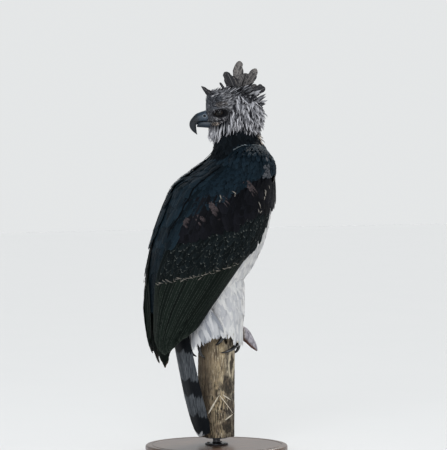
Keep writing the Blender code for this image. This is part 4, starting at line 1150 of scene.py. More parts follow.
def feathered(name, shell, spots, length, half_width, form, rise, finish, draw, sway, outward=1,
              loose=0.0006, tints=None, heading=None, **how):
    """A coat piece of like feathers rooted at spots of a shell and laid down it.

    form holds the stations' shares of length and of width, and finish the material and slot.
    """
    turns, levels = spots
    count = len(turns)
    _, _, slope, normal = on_shell(shell, turns, levels, outward)
    heading = turned_about(-slope if heading is None else heading, normal, draw.normal(0, sway, count))
    lines = laid(shell, turns, levels, length, form[0], heading, outward)
    rise = np.asarray(rise) + draw.uniform(-loose, 1.4 * loose, (count, 1))
    tints = draw.uniform(0, 0.95, count) if tints is None else tints
    coat = vanes(name, lines, half_width, form[1], rise, tints, unwrapped(turns, levels), **how)
    return finished(coat, *finish)


def plume_values(tree):
    """A feather's share of length, its place across and its own random number."""
    kept = node(tree, "ShaderNodeAttribute", attribute_name="plume").outputs["Vector"]
    split = axes_of(tree, kept)
    away = worked(tree, "ABSOLUTE", split["Y"])
    return split["X"], away, split["Z"]


def barbs(tree, along, away, count, slant):
    """Fine barbs that run from the shaft to the edge, slanted to the tip."""
    lean = worked(tree, "MULTIPLY", away, slant)
    place = worked(tree, "SUBTRACT", along, lean)
    turn = worked(tree, "MULTIPLY", place, count)
    wave = worked(tree, "SINE", turn)
    return worked(tree, "MULTIPLY_ADD", wave, 0.5, 0.5)


def soft_white(name, lit, shaded, root):
    """White contour feathers: bright loose tips over greyer down."""
    material, tree, shader = new_finish(name, 0.8, 0.2)
    along, away, tint = plume_values(tree)
    fine = barbs(tree, along, away, 150.0, 0.25)
    colour = blended(tree, tint, shaded, lit)
    colour = blended(tree, ramped(tree, along, 0.45, 0.0), colour, root)
    colour = blended(tree, shared(tree, fine, 0.22), colour, shaded)
    painted(shader, colour)
    shader.inputs["Sheen Weight"].default_value = 0.15
    raised(tree, shader, fine, 0.0002, 0.5)
    return material


WORN_BROWN = (0.105, 0.080, 0.076, 1)


def dark_contour(name, deep, light, edge, edge_share, roughness, worn=WORN_BROWN, tip=None):
    """Slate feathers: darker in the middle, paler at the edge, faded where one is worn. In the lesser
    coverts the worn colour is a painted sheen.

    tip, where given, is the end fringe's colour, where it starts along the feather, how far it
    covers, and the random number from which a feather has it.
    """
    material, tree, shader = new_finish(name, roughness, 0.04)
    along, away, tint = plume_values(tree)
    fine = barbs(tree, along, away, 170.0, 0.3)
    flecks = clouded(tree, own_place(tree), 330.0, 3.0)
    colour = blended(tree, ramped(tree, tint, 0.0, 0.9), deep, light)
    border = worked(tree, "MAXIMUM", away, along)
    rim = shared(tree, ramped(tree, border, 0.80, 0.99), edge_share)
    colour = blended(tree, shared(tree, rim, ramped(tree, flecks, 0.36, 0.60)), colour, edge)
    shaft = shared(tree, ramped(tree, away, 0.14, 0.04), 0.5)
    colour = blended(tree, shaft, colour, (0.003, 0.0035, 0.004, 1))
    if tip:
        tip_colour, start, cover, chosen = tip
        outline = worked(tree, "MAXIMUM", away, ramped(tree, along, start, 1.0))
        fringe = shared(
            tree, ramped(tree, outline, 0.55, 0.78), ramped(tree, along, start - 0.03, start)
        )
        ragged = shared(tree, ramped(tree, flecks, 0.28, 0.50), cover)
        picked = shared(tree, ramped(tree, tint, chosen - 0.02, chosen), ragged)
        colour = blended(tree, shared(tree, fringe, picked), colour, tip_colour)
    # Feathers with the top tints take the worn colour: real wear in most pieces, a painted sheen in the
    # lesser coverts
    is_worn = ramped(tree, tint, 0.975, 0.985)
    streaked = shared(tree, ramped(tree, flecks, 0.62, 0.36), 0.75)
    unfaded = worked(tree, "MAXIMUM", ramped(tree, along, 0.40, 0.95), streaked, held=True)
    mottled = blended(tree, unfaded, worn, deep)
    colour = blended(tree, is_worn, colour, mottled)
    painted(shader, colour)
    raised(tree, shader, fine, 0.00025, 0.5)
    return material


white_feather = soft_white(
    "white_feather", (0.76, 0.745, 0.715, 1), (0.48, 0.48, 0.50, 1), (0.34, 0.34, 0.37, 1)
)
black_band = dark_contour("black_band", SLATE, (0.0075, 0.0130, 0.0180, 1), SLATE_BLUE, 0.35, 0.6)
down = np.array((0.0, 0.0, -1.0))
breast_shell = level_shell(TORSO_ROWS, 0.0035)
draw = np.random.default_rng(101)
heights = np.arange(0.362, 0.775, BREAST_ROW)
front_edge = np.interp(
    heights, (0.36, 0.42, 0.46, 0.53, 0.60, 0.72, 0.78), (180, 150, 96, 78, 64, 58, 70)
)
turns, levels = rows_over(
    breast_shell, heights, -np.radians(front_edge), np.radians(front_edge), 0.0095, draw
)
count = len(turns)
is_band = levels > BAND_HEIGHT + draw.normal(0, 0.004, count)
length = BREAST_LENGTH * draw.uniform(0.85, 1.2, count)
width = BREAST_HALF_WIDTH * draw.uniform(0.8, 1.2, count)
heading = down + np.stack((0 * turns, 0.12 * np.sin(turns), 0 * turns), -1)
for name, which, finish in (
    ("breast_white", ~is_band, (white_feather, "white_plumage")),
    ("breast_band", is_band, (black_band, "slate_plumage")),
):
    feathered(
        name, breast_shell, (turns[which], levels[which]), length[which], width[which],
        (BODY_SHARE, BODY_FEATHER), (-0.0022, 0.0002, 0.0012, 0.0020, 0.0026), finish, draw, 0.16,
        heading=heading[which], seed=102,
    )

# Wing quills
# The folded wing's long stiff feathers: primaries innermost and longest, secondaries over them,
# then greater and median coverts, each vane rooted under the tier above and lapping the next.
QUILL = (
    np.array((0, 0.12, 0.26, 0.40, 0.54, 0.68, 0.79, 0.88, 0.94, 0.98, 1.0)),
    np.array((0.50, 0.78, 0.94, 1.0, 1.0, 0.98, 0.95, 0.87, 0.74, 0.52, 0.16)),
)
COVERT = (
    np.array((0, 0.2, 0.42, 0.62, 0.78, 0.89, 0.96, 1.0)),
    np.array((0.60, 0.88, 1.0, 1.0, 0.94, 0.78, 0.50, 0.12)),
)
# Count, span across, heights of roots, heights of tips in front, half way and behind, lift,
# half width, lean in degrees, and how much each feather lies deeper than the next one back
QUILL_ROWS = {
    "primaries": (8, (0.40, 0.88), (0.455, 0.455), (0.268, 0.236, 0.244), -0.0120, 0.0105, 11, 0.0006),
    "secondaries": (24, (0.03, 1.0), (0.600, 0.600), (0.325, 0.268, 0.300), -0.0060, 0.0118, 12, 0.0),
    "greater_coverts": (
        22, (0.03, 1.0), (0.640, 0.660), (0.505, 0.466, 0.445), -0.0026, 0.0112, 12, 0.0
    ),
    "median_coverts": (19, (-0.04, 1.0), (0.735, 0.735), (0.650, 0.585, 0.552), 0.0020, 0.0118, 12, 0.0),
}
ROOT_SUNK = 0.007
FLIGHT_DEEP, FLIGHT_LIGHT = (0.0030, 0.0052, 0.0042, 1), (0.0080, 0.0125, 0.0098, 1)


def fallen(shell, across, root, tip, share, outward):
    """Lines down a shell at a constant first coordinate, from a root's height to a tip's."""
    heights = root[:, None] + (tip - root)[:, None] * share
    point, _, slope, normal = on_shell(
        shell, np.repeat(across[:, None], len(share), 1), heights, outward
    )
    return point, unit(-slope), normal


def bowed(ends, part):
    """Values from the first to the last end along part, bowed to pass the middle one half way."""
    first, middle, last = ends
    return first + (last - first) * part + (middle - (first + last) / 2) * 4 * part * (1 - part)


brown_tip = ((0.070, 0.046, 0.036, 1), 0.86, 0.9, 0.0)
tan_tip = ((0.150, 0.135, 0.115, 1), 0.93, 0.8, 0.45)
# Finish, colours of the vane's middle, of its paler feathers and of its edge, the edge's share
# and the tip
QUILL_COLOURS = {
    "primaries": (
        "primary_feather", FLIGHT_DEEP, FLIGHT_LIGHT, (0.030, 0.036, 0.034, 1), 0.5, brown_tip,
    ),
    "secondaries": (
        "secondary_feather", FLIGHT_DEEP, FLIGHT_LIGHT, (0.044, 0.054, 0.045, 1), 0.9, None,
    ),
    "greater_coverts": (
        "greater_covert", (0.0028, 0.0048, 0.0050, 1), (0.0065, 0.0100, 0.0105, 1),
        (0.030, 0.038, 0.038, 1), 0.8, tan_tip,
    ),
    "median_coverts": (
        "median_covert", (0.0028, 0.0032, 0.0045, 1), (0.0062, 0.0068, 0.0092, 1),
        (0.016, 0.018, 0.024, 1), 0.5, None,
    ),
}
quill_finishes = {
    tier: dark_contour(*colours, 0.5, tip=tip) for tier, (*colours, tip) in QUILL_COLOURS.items()
}
for name, side in SIDES.items():
    shell = wing_shell(side)
    for tier, (count, span, roots, tips, lift, half, lean, step) in QUILL_ROWS.items():
        draw = np.random.default_rng(200 + count + side + int(1e4 * (lift + 1)))
        part = np.linspace(0, 1, count) + draw.normal(0, 0.006, count)
        across = span[0] + (span[1] - span[0]) * part
        root = roots[0] + (roots[1] - roots[0]) * part
        tip = bowed(tips, part) + draw.uniform(-0.005, 0.005, count)
        form = QUILL if tier in ("primaries", "secondaries") else COVERT
        rise = lift - step * (count - 1 - np.arange(count))[:, None]
        rise = rise - ROOT_SUNK * np.clip(1 - form[0] / 0.3, 0, 1) + draw.uniform(
            -0.0006, 0.0006, (count, 1)
        )
        row = vanes(
            f"{tier}_{name}", fallen(shell, across, root, tip, form[0], side),
            half * draw.uniform(0.94, 1.06, count), form[1], rise, draw.uniform(0.05, 0.95, count),
            np.stack((0.02 + 0.96 * part, np.full(count, 0.5)), -1), columns=7, camber=0.10,
            lean=side * math.radians(lean), fray=0.03, patch=(0.8 / count, 0.94),
            seed=300 + count + side,
        )
        finished(row, quill_finishes[tier], "slate_plumage")

# Upper coverts
# Long blackish feathers with a purple cast lie aslant between the small scales and the streaked
# band. A few of them are worn to a pinkish brown, palest where they come out.
ASLANT = 0.60
FULL_SHOULDER = (0.066, 0.042, 0.064)
PATCH_FEATHERS = 5
# Place across, and the heights between which these feathers show
ZONE = np.array((
    (-0.20, 0.735, 0.660), (0.10, 0.722, 0.645), (0.38, 0.711, 0.618), (0.48, 0.695, 0.597),
    (0.59, 0.672, 0.582), (0.72, 0.651, 0.566), (0.835, 0.633, 0.558), (1.02, 0.612, 0.552),
)).T
# Worn patches: place across, height of the roots, length, half width and turn
WORN = (
    (0.600, 0.716, 0.064, 0.0090, 1.45),
    (0.830, 0.664, 0.068, 0.0150, 1.10),
    (0.940, 0.634, 0.062, 0.0090, 1.35),
    (1.040, 0.622, 0.050, 0.0085, 1.20),
    (0.740, 0.676, 0.050, 0.0034, 1.20),
)


def bulged(shell, centre, radii):
    """A shell pushed out wherever it would pass inside an ellipsoid."""

    def at(u, v):
        points = shell(u, v)
        from_centre = (points - centre) / radii
        depth = np.linalg.norm(from_centre, axis=-1, keepdims=True)
        return centre + from_centre * radii * np.where(depth < 1, 1 / np.maximum(depth, 1e-6), 1.0)

    return at


upper_covert = dark_contour("upper_covert", (0.0028, 0.0030, 0.0042, 1), (0.0072, 0.0074, 0.0105, 1),
                            (0.016, 0.017, 0.022, 1), 0.45, 0.5, worn=(0.076, 0.060, 0.062, 1))
for name, side in SIDES.items():
    shell = bulged(wing_shell(side), np.array(SHOULDER[name]), np.array(FULL_SHOULDER))
    draw = np.random.default_rng(370 + side)
    heights = np.arange(0.585, 0.745, 0.0135)
    across, levels = rows_over(shell, heights, 0 * heights - 0.04, 0 * heights + 1.02, 0.0150, draw)
    shown_from, shown_to = (np.interp(across, ZONE[0], row) for row in ZONE[1:])
    kept = (levels < shown_from + 0.010) & (levels > shown_to + 0.030)
    worn = np.repeat(np.array(WORN), PATCH_FEATHERS, 0)
    fan = np.tile(np.linspace(-1, 1, PATCH_FEATHERS), len(WORN))
    worn[:, 0] += fan * worn[:, 3] * 1.1
    worn[:, 1] += fan * worn[:, 3] * 0.5 + draw.normal(0, 0.0015, len(fan))
    worn[:, 2] *= draw.uniform(0.55, 1.0, len(fan))
    worn[:, 3] *= draw.uniform(0.28, 0.45, len(fan))
    worn[:, 4] += draw.normal(0, 0.08, len(fan))
    worn_across, worn_levels, worn_length, worn_half, worn_turn = worn.T
    sound = kept.sum()
    across, levels = np.append(across[kept], worn_across), np.append(levels[kept], worn_levels)
    length = np.append(0.044 * draw.uniform(0.9, 1.1, sound), worn_length)
    half = np.append(0.0110 * draw.uniform(0.85, 1.15, sound), worn_half)
    turn = np.append(np.full(sound, ASLANT), worn_turn)
    is_worn = np.arange(len(across)) >= sound
    _, _, slope, normal = on_shell(shell, across, levels, side)
    feathered(
        f"upper_coverts_{name}", shell, (across, levels), length, half, COVERT,
        np.interp(COVERT[0], (0, 0.3, 1), (-0.0030, 0.0026, 0.0040)) + 0.0009 * is_worn[:, None],
        (upper_covert, "slate_plumage"), draw, 0.05, side, loose=0.0004,
        tints=np.where(is_worn, 1.0, 0.9 * draw.random(len(across))),
        heading=turned_about(-slope, normal, -side * turn), columns=5, camber=0.10, fray=0.06,
        seed=375 + side,
    )

# Streaked coverts
# Rows of narrow dark feathers lie over the greater coverts' upper halves. Many end in a small
# pale fleck, which makes the streaky band across the folded wing.
SCALE = (np.array((0.0, 0.35, 0.65, 0.88, 1.0)), np.array((0.60, 0.95, 1.0, 0.72, 0.16)))
STREAK_LENGTH = 0.034

streaked = dark_contour(
    "streaked_covert", (0.0025, 0.0045, 0.0050, 1), (0.0070, 0.0110, 0.0125, 1),
    (0.050, 0.055, 0.052, 1), 0.75, 0.5, tip=((0.125, 0.133, 0.123, 1), 0.80, 0.85, 0.50),
)
for name, side in SIDES.items():
    shell = wing_shell(side)
    draw = np.random.default_rng(350 + side)
    heights = np.arange(0.475, 0.660, 0.0098)
    across, levels = rows_over(shell, heights, 0 * heights, 0 * heights + 1.0, 0.0092, draw)
    greater = bowed(QUILL_ROWS["greater_coverts"][3], np.clip(across, 0, 1))
    kept = (levels > greater + STREAK_LENGTH + 0.010) & (
        levels < np.interp(across, ZONE[0], ZONE[2]) + 0.026
    )
    across, levels = across[kept], levels[kept]
    count = len(across)
    feathered(
        f"streaked_coverts_{name}", shell, (across, levels),
        STREAK_LENGTH * draw.uniform(0.85, 1.12, count), 0.0050 * draw.uniform(0.85, 1.2, count), SCALE,
        (-0.0030, -0.0004, 0.0006, 0.0012, 0.0014), (streaked, "slate_plumage"), draw, 0.10, side,
        loose=0.0004, columns=5, camber=0.16, seed=360 + side,
    )

# Lesser coverts
# Small rounded feathers, like fine scales, from the shoulder down to the upper coverts. Each has a
# slightly paler edge. Behind the wrist's front edge some are painted a silvery grey, a painted sheen.
LESSER_ROW = 0.0054
LESSER_LENGTH = 0.022
LESSER_HALF_WIDTH = 0.0048
# Middle, reach and slope of the patch of painted silvery sheen behind the wrist's front edge
SHEEN_PLACE, SHEEN_REACH, SHEEN_SLOPE = (0.26, 0.726), (0.21, 0.025), 0.207
SHOULDER_REACH = ((0.40, 0.0), (0.52, 0.0), (0.56, 0.06), (0.61, 0.14), (0.68, 0.12), (0.80, 0.04))

# The worn colour of these coverts is the silvery grey of the painted sheen
small_covert = dark_contour("small_covert", (0.0048, 0.0100, 0.0150, 1), (0.0100, 0.0205, 0.0305, 1),
                            (0.024, 0.040, 0.054, 1), 0.40, 0.5, worn=(0.130, 0.134, 0.146, 1))
reach_over_breast = smooth_table(SHOULDER_REACH)
for name, side in SIDES.items():
    shell = bulged(wing_shell(side), np.array(SHOULDER[name]), np.array(FULL_SHOULDER))
    draw = np.random.default_rng(400 + side)
    heights = np.arange(0.592, 0.806, LESSER_ROW)
    first = -0.05 - reach_over_breast(heights)[:, 0]
    first -= np.interp(heights, (0.68, 0.72, 0.78, 0.80), (0.0, 0.22, 0.30, 0.30))
    across, levels = rows_over(shell, heights, first, np.full(len(heights), 1.04), 0.0064, draw)
    kept = levels > np.interp(across, ZONE[0], ZONE[1]) + 0.014
    across, levels = across[kept], levels[kept]
    count = len(across)
    grown = np.interp(levels, (0.60, 0.80), (1.20, 0.80)) * draw.uniform(0.88, 1.12, count)
    smooth = np.interp(levels, (0.64, 0.74, 0.765, 0.785), (1.4, 1.0, 1.0, 0.35))[:, None]
    # Lesser coverts in the patch behind the wrist take the silvery worn colour as a painted sheen
    ahead, above = across - SHEEN_PLACE[0], levels - SHEEN_PLACE[1]
    off_sheen = np.hypot(ahead / SHEEN_REACH[0], (above - SHEEN_SLOPE * ahead) / SHEEN_REACH[1])
    is_sheen = off_sheen + draw.uniform(0, 0.9, count) < 1
    feathered(
        f"lesser_coverts_{name}", shell, (across, levels), LESSER_LENGTH * grown,
        LESSER_HALF_WIDTH * grown, SCALE, np.array((-0.0016, 0.0014, 0.0026, 0.0032, 0.0034)) * smooth,
        (small_covert, "slate_plumage"), draw, 0.13, side, loose=0.0003,
        tints=np.where(is_sheen, 1.0, 0.9 * draw.random(count)), camber=0.12, seed=410 + side,
    )

# Mantle and scapulars
# Broad smooth bluish feathers down the middle of the back and over the rump, and on each side the
# scapulars, whose free edges lie over the mantle. Narrow black feathers paint the dark shadow line
# that parts them from the wing, down each side of it.
MANTLE = (
    np.array((0.0, 0.25, 0.50, 0.72, 0.88, 0.97, 1.0)),
    np.array((0.55, 0.88, 1.0, 0.98, 0.78, 0.42, 0.10)),
)

mantle_feather = dark_contour(
    "mantle_feather", (0.0035, 0.0075, 0.0110, 1), (0.0110, 0.0220, 0.0320, 1),
    (0.034, 0.051, 0.058, 1), 0.55, 0.48,
)
draw = np.random.default_rng(500)
heights = np.arange(0.440, 0.802, 0.0155)
half_band = np.radians(np.interp(heights, (0.44, 0.56, 0.65, 0.72, 0.80), (24, 30, 30, 42, 75)))
turns, levels = rows_over(plumage, heights, math.pi - half_band, math.pi + half_band, 0.0150, draw)
count = len(turns)
grown = np.interp(levels, (0.50, 0.80), (1.15, 0.72)) * draw.uniform(0.92, 1.08, count)
sunk = np.interp(levels, (0.50, 0.60), (0.006, 0.0))[:, None]
feathered(
    "mantle", plumage, (turns, levels), 0.058 * grown, 0.0125 * grown, MANTLE,
    np.interp(MANTLE[0], (0, 0.3, 1), (-0.0080, -0.0045, -0.0018)) - sunk,
    (mantle_feather, "slate_plumage"), draw, 0.07,
    tints=0.95 * draw.random(count) * np.interp(levels, (0.50, 0.62), (0.05, 1.0)), columns=5,
    camber=0.10, seed=501,
)
# Height and place across of the painted shadow line, of narrow black feathers, that parts the scapulars
# from the wing
PARTING = (
    (0.554, 1.060), (0.591, 1.085), (0.628, 1.038), (0.688, 1.022), (0.715, 1.007), (0.750, 1.015)
)
# Near-black feathers that paint the shadow in the gap between the scapulars and the wing
parting_shadow_black = dark_contour("parting_shadow_black", (0.0015, 0.0018, 0.0024, 1), (0.0025, 0.0030, 0.0040, 1),
                             (0.004, 0.005, 0.006, 1), 0.3, 0.7)
for name, side in SIDES.items():
    shell = wing_shell(side)
    draw = np.random.default_rng(520 + side)
    heights = np.arange(0.600, 0.800, 0.0175)
    first = np.interp(heights, (0.60, 0.66, 0.80), (0.98, 0.96, 0.90))
    last = np.interp(heights, (0.56, 0.64, 0.72, 0.80), (1.08, 1.13, 1.11, 1.07))
    across, levels = rows_over(shell, heights, first, last, 0.0135, draw)
    count = len(across)
    grown = np.interp(levels, (0.60, 0.80), (1.15, 0.75)) * draw.uniform(0.94, 1.06, count)
    feathered(
        f"scapulars_{name}", shell, (across, levels), 0.062 * grown, 0.0118 * grown, MANTLE,
        np.interp(MANTLE[0], (0, 0.3, 1), (-0.0040, 0.0020, 0.0050)), (mantle_feather, "slate_plumage"),
        draw, 0.05, side, loose=0.0004, columns=5, camber=0.10, lean=-side * math.radians(6),
        seed=530 + side,
    )
    # A row of narrow black feathers laid along the parting as a painted shadow line
    levels = np.arange(0.585, 0.750, 0.007)
    across = np.interp(levels, *np.array(PARTING).T) - 0.018
    feathered(
        f"parting_{name}", shell, (across, levels), np.full(len(levels), 0.024),
        np.full(len(levels), 0.0017), SCALE, (0.0030, 0.0058, 0.0062, 0.0062, 0.0058),
        (parting_shadow_black, "slate_plumage"), draw, 0.10, side, fray=0.3, seed=540 + side,
    )

# Neck
# Dense short black-slate feathers from the ruff down into the shoulders, with a paler fluffy tan
# patch where the turned neck parts them.
NECK_ROW = 0.0062
neck_shell = level_shell(NECK_ROWS, 0.0030)
neck_feather = dark_contour("neck_feather", (0.0030, 0.0045, 0.0060, 1), (0.0070, 0.0100, 0.0130, 1),
                            (0.018, 0.022, 0.028, 1), 0.35, 0.6, worn=(0.46, 0.39, 0.33, 1))
draw = np.random.default_rng(600)
heights = np.arange(0.752, 0.870, NECK_ROW)
turns, levels = rows_over(
    neck_shell, heights, 0 * heights - math.pi, 0 * heights + math.pi, 0.0082, draw
)
count = len(turns)
parted = (
    np.abs(turns + 0.62) < 0.42
) & (levels > 0.785) & (levels < 0.856) & (draw.random(count) < 0.6)
length = 0.026 * draw.uniform(0.8, 1.25, count) * np.interp(levels, (0.76, 0.80), (1.4, 1.0))
feathered(
    "neck_feathers", neck_shell, (turns, levels), length, 0.0056 * draw.uniform(0.8, 1.2, count),
    (BODY_SHARE, BODY_FEATHER),
    np.array((-0.0025, 0.0005, 0.0020, 0.0034, 0.0044)) * np.where(parted, 2.2, 1.0)[:, None],
    (neck_feather, "slate_plumage"), draw, 0.20, loose=0.0008,
    tints=np.where(parted, 1.0, 0.9 * draw.random(count)), seed=601,
)

# Pale flecks
# Small slim pale feathers that show between the coverts and down the wrist's front edge, and the
# worn tips of the greater coverts, which draw a thin wavy line across the wing.
# Along the shoulder's ridge a row of thin pale feathers paints the rim highlight where light catches its
# edge.

# Place across, height of the root, length, half width and turn
FLECKS = (
    (0.715, 0.676, 0.015, 0.0011, 0.55),
    (0.690, 0.664, 0.011, 0.0009, 0.40),
    (0.610, 0.684, 0.014, 0.0012, 0.95),
    (0.572, 0.679, 0.011, 0.0010, 0.10),
    (0.300, 0.660, 0.022, 0.0015, 0.80),
    (0.270, 0.640, 0.012, 0.0010, 0.60),
    (0.238, 0.690, 0.013, 0.0022, 0.35),
    (0.226, 0.683, 0.013, 0.0020, 0.30),
    (0.222, 0.672, 0.012, 0.0018, 0.20),
    (0.205, 0.636, 0.014, 0.0011, -0.60),
    (0.170, 0.700, 0.012, 0.0012, 0.30),
    (0.150, 0.722, 0.012, 0.0012, 0.20),
)
TIP_LINE = 30
# Places along the shoulder's ridge, in front to behind, where thin pale feathers paint the rim highlight
# of the light catching the feathers' edges
RIDGE = ((0.27, 0.752), (0.373, 0.768), (0.565, 0.799), (0.753, 0.802), (1.000, 0.791))
RIDGE_FEATHERS = 60
pale_tip = soft_white(
    "pale_tip", (0.350, 0.315, 0.270, 1), (0.170, 0.155, 0.135, 1), (0.050, 0.048, 0.045, 1)
)
# Painted highlight: pale grey-blue colours for the rim of light along the shoulder's ridge
painted_rim_highlight = soft_white(
    "painted_rim_highlight", (0.300, 0.340, 0.360, 1), (0.090, 0.110, 0.125, 1), (0.040, 0.052, 0.062, 1)
)
fleck_across, fleck_height, fleck_length, fleck_half, fleck_turn = np.array(FLECKS).T
for name, side in SIDES.items():
    shell = bulged(wing_shell(side), np.array(SHOULDER[name]), np.array(FULL_SHOULDER))
    draw = np.random.default_rng(620 + side)
    _, _, slope, normal = on_shell(shell, fleck_across, fleck_height, side)
    feathered(
        f"pale_flecks_{name}", shell, (fleck_across, fleck_height), fleck_length, fleck_half,
        (BODY_SHARE, BODY_FEATHER), (0.0030, 0.0052, 0.0058, 0.0058, 0.0054),
        (pale_tip, "slate_plumage"), draw, 0.15, side,
        heading=turned_about(-slope, normal, -side * fleck_turn), fray=0.55, seed=630 + side,
    )
    across = np.linspace(0.10, 0.97, TIP_LINE) + draw.normal(0, 0.008, TIP_LINE)
    levels = bowed(QUILL_ROWS["greater_coverts"][3], across) + draw.uniform(-0.002, 0.006, TIP_LINE)
    _, sideways, _, _ = on_shell(shell, across, levels, side)
    feathered(
        f"pale_tips_{name}", shell, (across, levels), 0.012 * draw.uniform(0.6, 1.4, TIP_LINE),
        0.0007 * draw.uniform(0.6, 1.3, TIP_LINE), SCALE, (0.0006, 0.0012, 0.0014, 0.0012, 0.0006),
        (pale_tip, "slate_plumage"), draw, 0.38, side, heading=unit(sideways), fray=0.3,
        seed=640 + side,
    )
    # A thin row of pale feathers along the ridge, a painted rim highlight
    part = np.linspace(0, len(RIDGE) - 1, RIDGE_FEATHERS)
    across, levels = (np.interp(part, range(len(RIDGE)), row) for row in np.array(RIDGE).T)
    point = shell(across, levels)
    feathered(
        f"painted_rim_feathers_{name}", shell, (across, levels),
        0.009 * draw.uniform(0.6, 1.3, RIDGE_FEATHERS), 0.0006 * draw.uniform(0.5, 1.2, RIDGE_FEATHERS),
        SCALE, (0.0012, 0.0024, 0.0028, 0.0028, 0.0024), (painted_rim_highlight, "slate_plumage"), draw, 0.16,
        side, heading=unit(np.gradient(point, axis=0)), fray=0.3, seed=650 + side,
    )

# Thighs
# Long loose white plumage hangs over the legs like trousers and, at the outside and the back,
# over the toes, with a soft ragged hem.
LOOSE = (np.array((0.0, 0.28, 0.55, 0.80, 0.93, 1.0)), np.array((0.55, 0.92, 1.0, 0.80, 0.45, 0.08)))
thigh_white = soft_white(
    "thigh_white", (0.76, 0.745, 0.72, 1), (0.48, 0.48, 0.50, 1), (0.34, 0.34, 0.37, 1)
)
for name, side in SIDES.items():
    shell = thigh_shell(side, 0.003)
    draw = np.random.default_rng(700 + side)
    heights = np.arange(0.350, 0.478, 0.0068)
    turns, levels = rows_over(shell, heights, 0 * heights, 0 * heights + 2 * math.pi, 0.0078, draw)
    count = len(turns)
    outside = np.sin(turns) > -0.35
    in_front = outside & (np.cos(turns) > 0.2)
    hem = np.where(levels < 0.385, np.where(in_front, 1.9, np.where(outside, 1.25, 0.7)), 1.0)
    length = 0.040 * hem * draw.uniform(0.8, 1.2, count)
    hem_height = np.where(in_front, 0.2780, np.where(outside, 0.2960, 0.3065))
    room = np.maximum(levels - hem_height - 0.008 * draw.random(count), 0.012)
    feathered(
        f"thigh_feathers_{name}", shell, (turns, levels), np.minimum(length, room),
        0.0052 * draw.uniform(0.8, 1.2, count), (BODY_SHARE, BODY_FEATHER),
        (-0.0024, 0.0004, 0.0016, 0.0024, 0.0026), (thigh_white, "white_plumage"), draw, 0.17, side,
        loose=0.0007, seed=710 + side,
    )

# Vent
# A loose fringe of the longest soft feathers, white with painted grey shade among them, falls from the
# vent and the backs of the legs over the hind toes and down both sides of the tail's root.
VENT_ROWS = (
    (0.270, -0.034, 0.063, 0.083),
    (0.300, -0.034, 0.061, 0.081),
    (0.340, -0.036, 0.056, 0.074),
    (0.390, -0.046, 0.050, 0.058),
    (0.420, -0.055, 0.045, 0.048),
)
VENT_FRINGE = ((-180, 0.283), (-160, 0.262), (-145, 0.276), (-125, 0.290), (-100, 0.302), (-70, 0.304))
vent_shell = level_shell(VENT_ROWS)
# Lit white and a darker painted-shade grey, between which each vent feather's colour is drawn
vent_shaded_white = soft_white("vent_shaded_white", (0.74, 0.73, 0.73, 1), (0.30, 0.31, 0.34, 1), (0.24, 0.25, 0.28, 1))
draw = np.random.default_rng(740)
heights = np.arange(0.338, 0.412, 0.0072)
half_round = np.radians(np.interp(heights, (0.338, 0.36, 0.41), (98, 86, 70)))
turns, levels = rows_over(vent_shell, heights, math.pi - half_round, math.pi + half_round, 0.0072, draw)
count = len(turns)
bearing = -np.abs(np.degrees(angle_gap(turns, 0)))
fringe = np.interp(bearing, *np.array(VENT_FRINGE).T)
length = np.minimum(0.062 * draw.uniform(0.8, 1.2, count), levels - fringe - 0.010 * draw.random(count))
feathered(
    "vent_feathers", vent_shell, (turns, levels), length, 0.0050 * draw.uniform(0.7, 1.3, count), LOOSE,
    (-0.0020, 0.0, 0.0010, 0.0016, 0.0022, 0.0024), (vent_shaded_white, "white_plumage"), draw, 0.16,
    loose=0.0016, fray=0.12, seed=741,
)

# Tail
# Twelve long feathers folded over one another, ash grey with broad black bars and white tips.
# They hang from a short root under the vent's white feathers and their painted grey shade.
TAIL_HALF_WIDTH = 0.042
TAIL_FEATHER_HALF = 0.0172
TAIL_TWIST = math.radians(6)
TAIL_ROOT = 0.415
TAIL_TIP = 0.0485
TAIL_FEATHERS = (
    (0.07, 0.0044, 0.0030),
    (0.20, 0.0024, 0.0012),
    (0.33, 0.0006, -0.0004),
    (0.45, -0.0012, -0.0018),
    (0.55, -0.0028, -0.0032),
    (0.63, -0.0042, -0.0045),
)
TAIL_SHARE = np.array((0, 0.10, 0.24, 0.38, 0.52, 0.64, 0.74, 0.83, 0.90, 0.95, 0.98, 1.0))
TAIL_SHAPE = np.array((0.45, 0.70, 0.88, 0.98, 1.0, 1.0, 1.0, 0.99, 0.94, 0.80, 0.55, 0.20))
TAIL_GREY = (0.062, 0.070, 0.080, 1)
TAIL_PALE = (0.120, 0.130, 0.142, 1)
TAIL_BLACK = (0.0050, 0.0065, 0.0090, 1)
TAIL_BARS = ((0.061, 0.107), (0.158, 0.199), (0.272, 0.315))


def in_a_row(count):
    """Places in one row on the unwrapped skin."""
    return np.stack((0.02 + 0.96 * np.arange(count) / (count - 1), np.full(count, 0.5)), -1)


def tail_shell(across, height):
    """Points of the closed tail: across runs from -1 at its right edge to 1 at its left."""
    x, y = np.moveaxis(tail_rows(height), -1, 0)
    lower, upper = tail_rows(height - 0.004), tail_rows(height + 0.004)
    lean = np.arctan2(upper[..., 0] - lower[..., 0], 0.008)
    arch = -0.006 * across**2
    reach = TAIL_HALF_WIDTH * across
    back_out = x - reach * math.sin(TAIL_TWIST) - arch * np.cos(lean)
    return np.stack((back_out, y + reach * math.cos(TAIL_TWIST), height + arch * np.sin(lean)), -1)


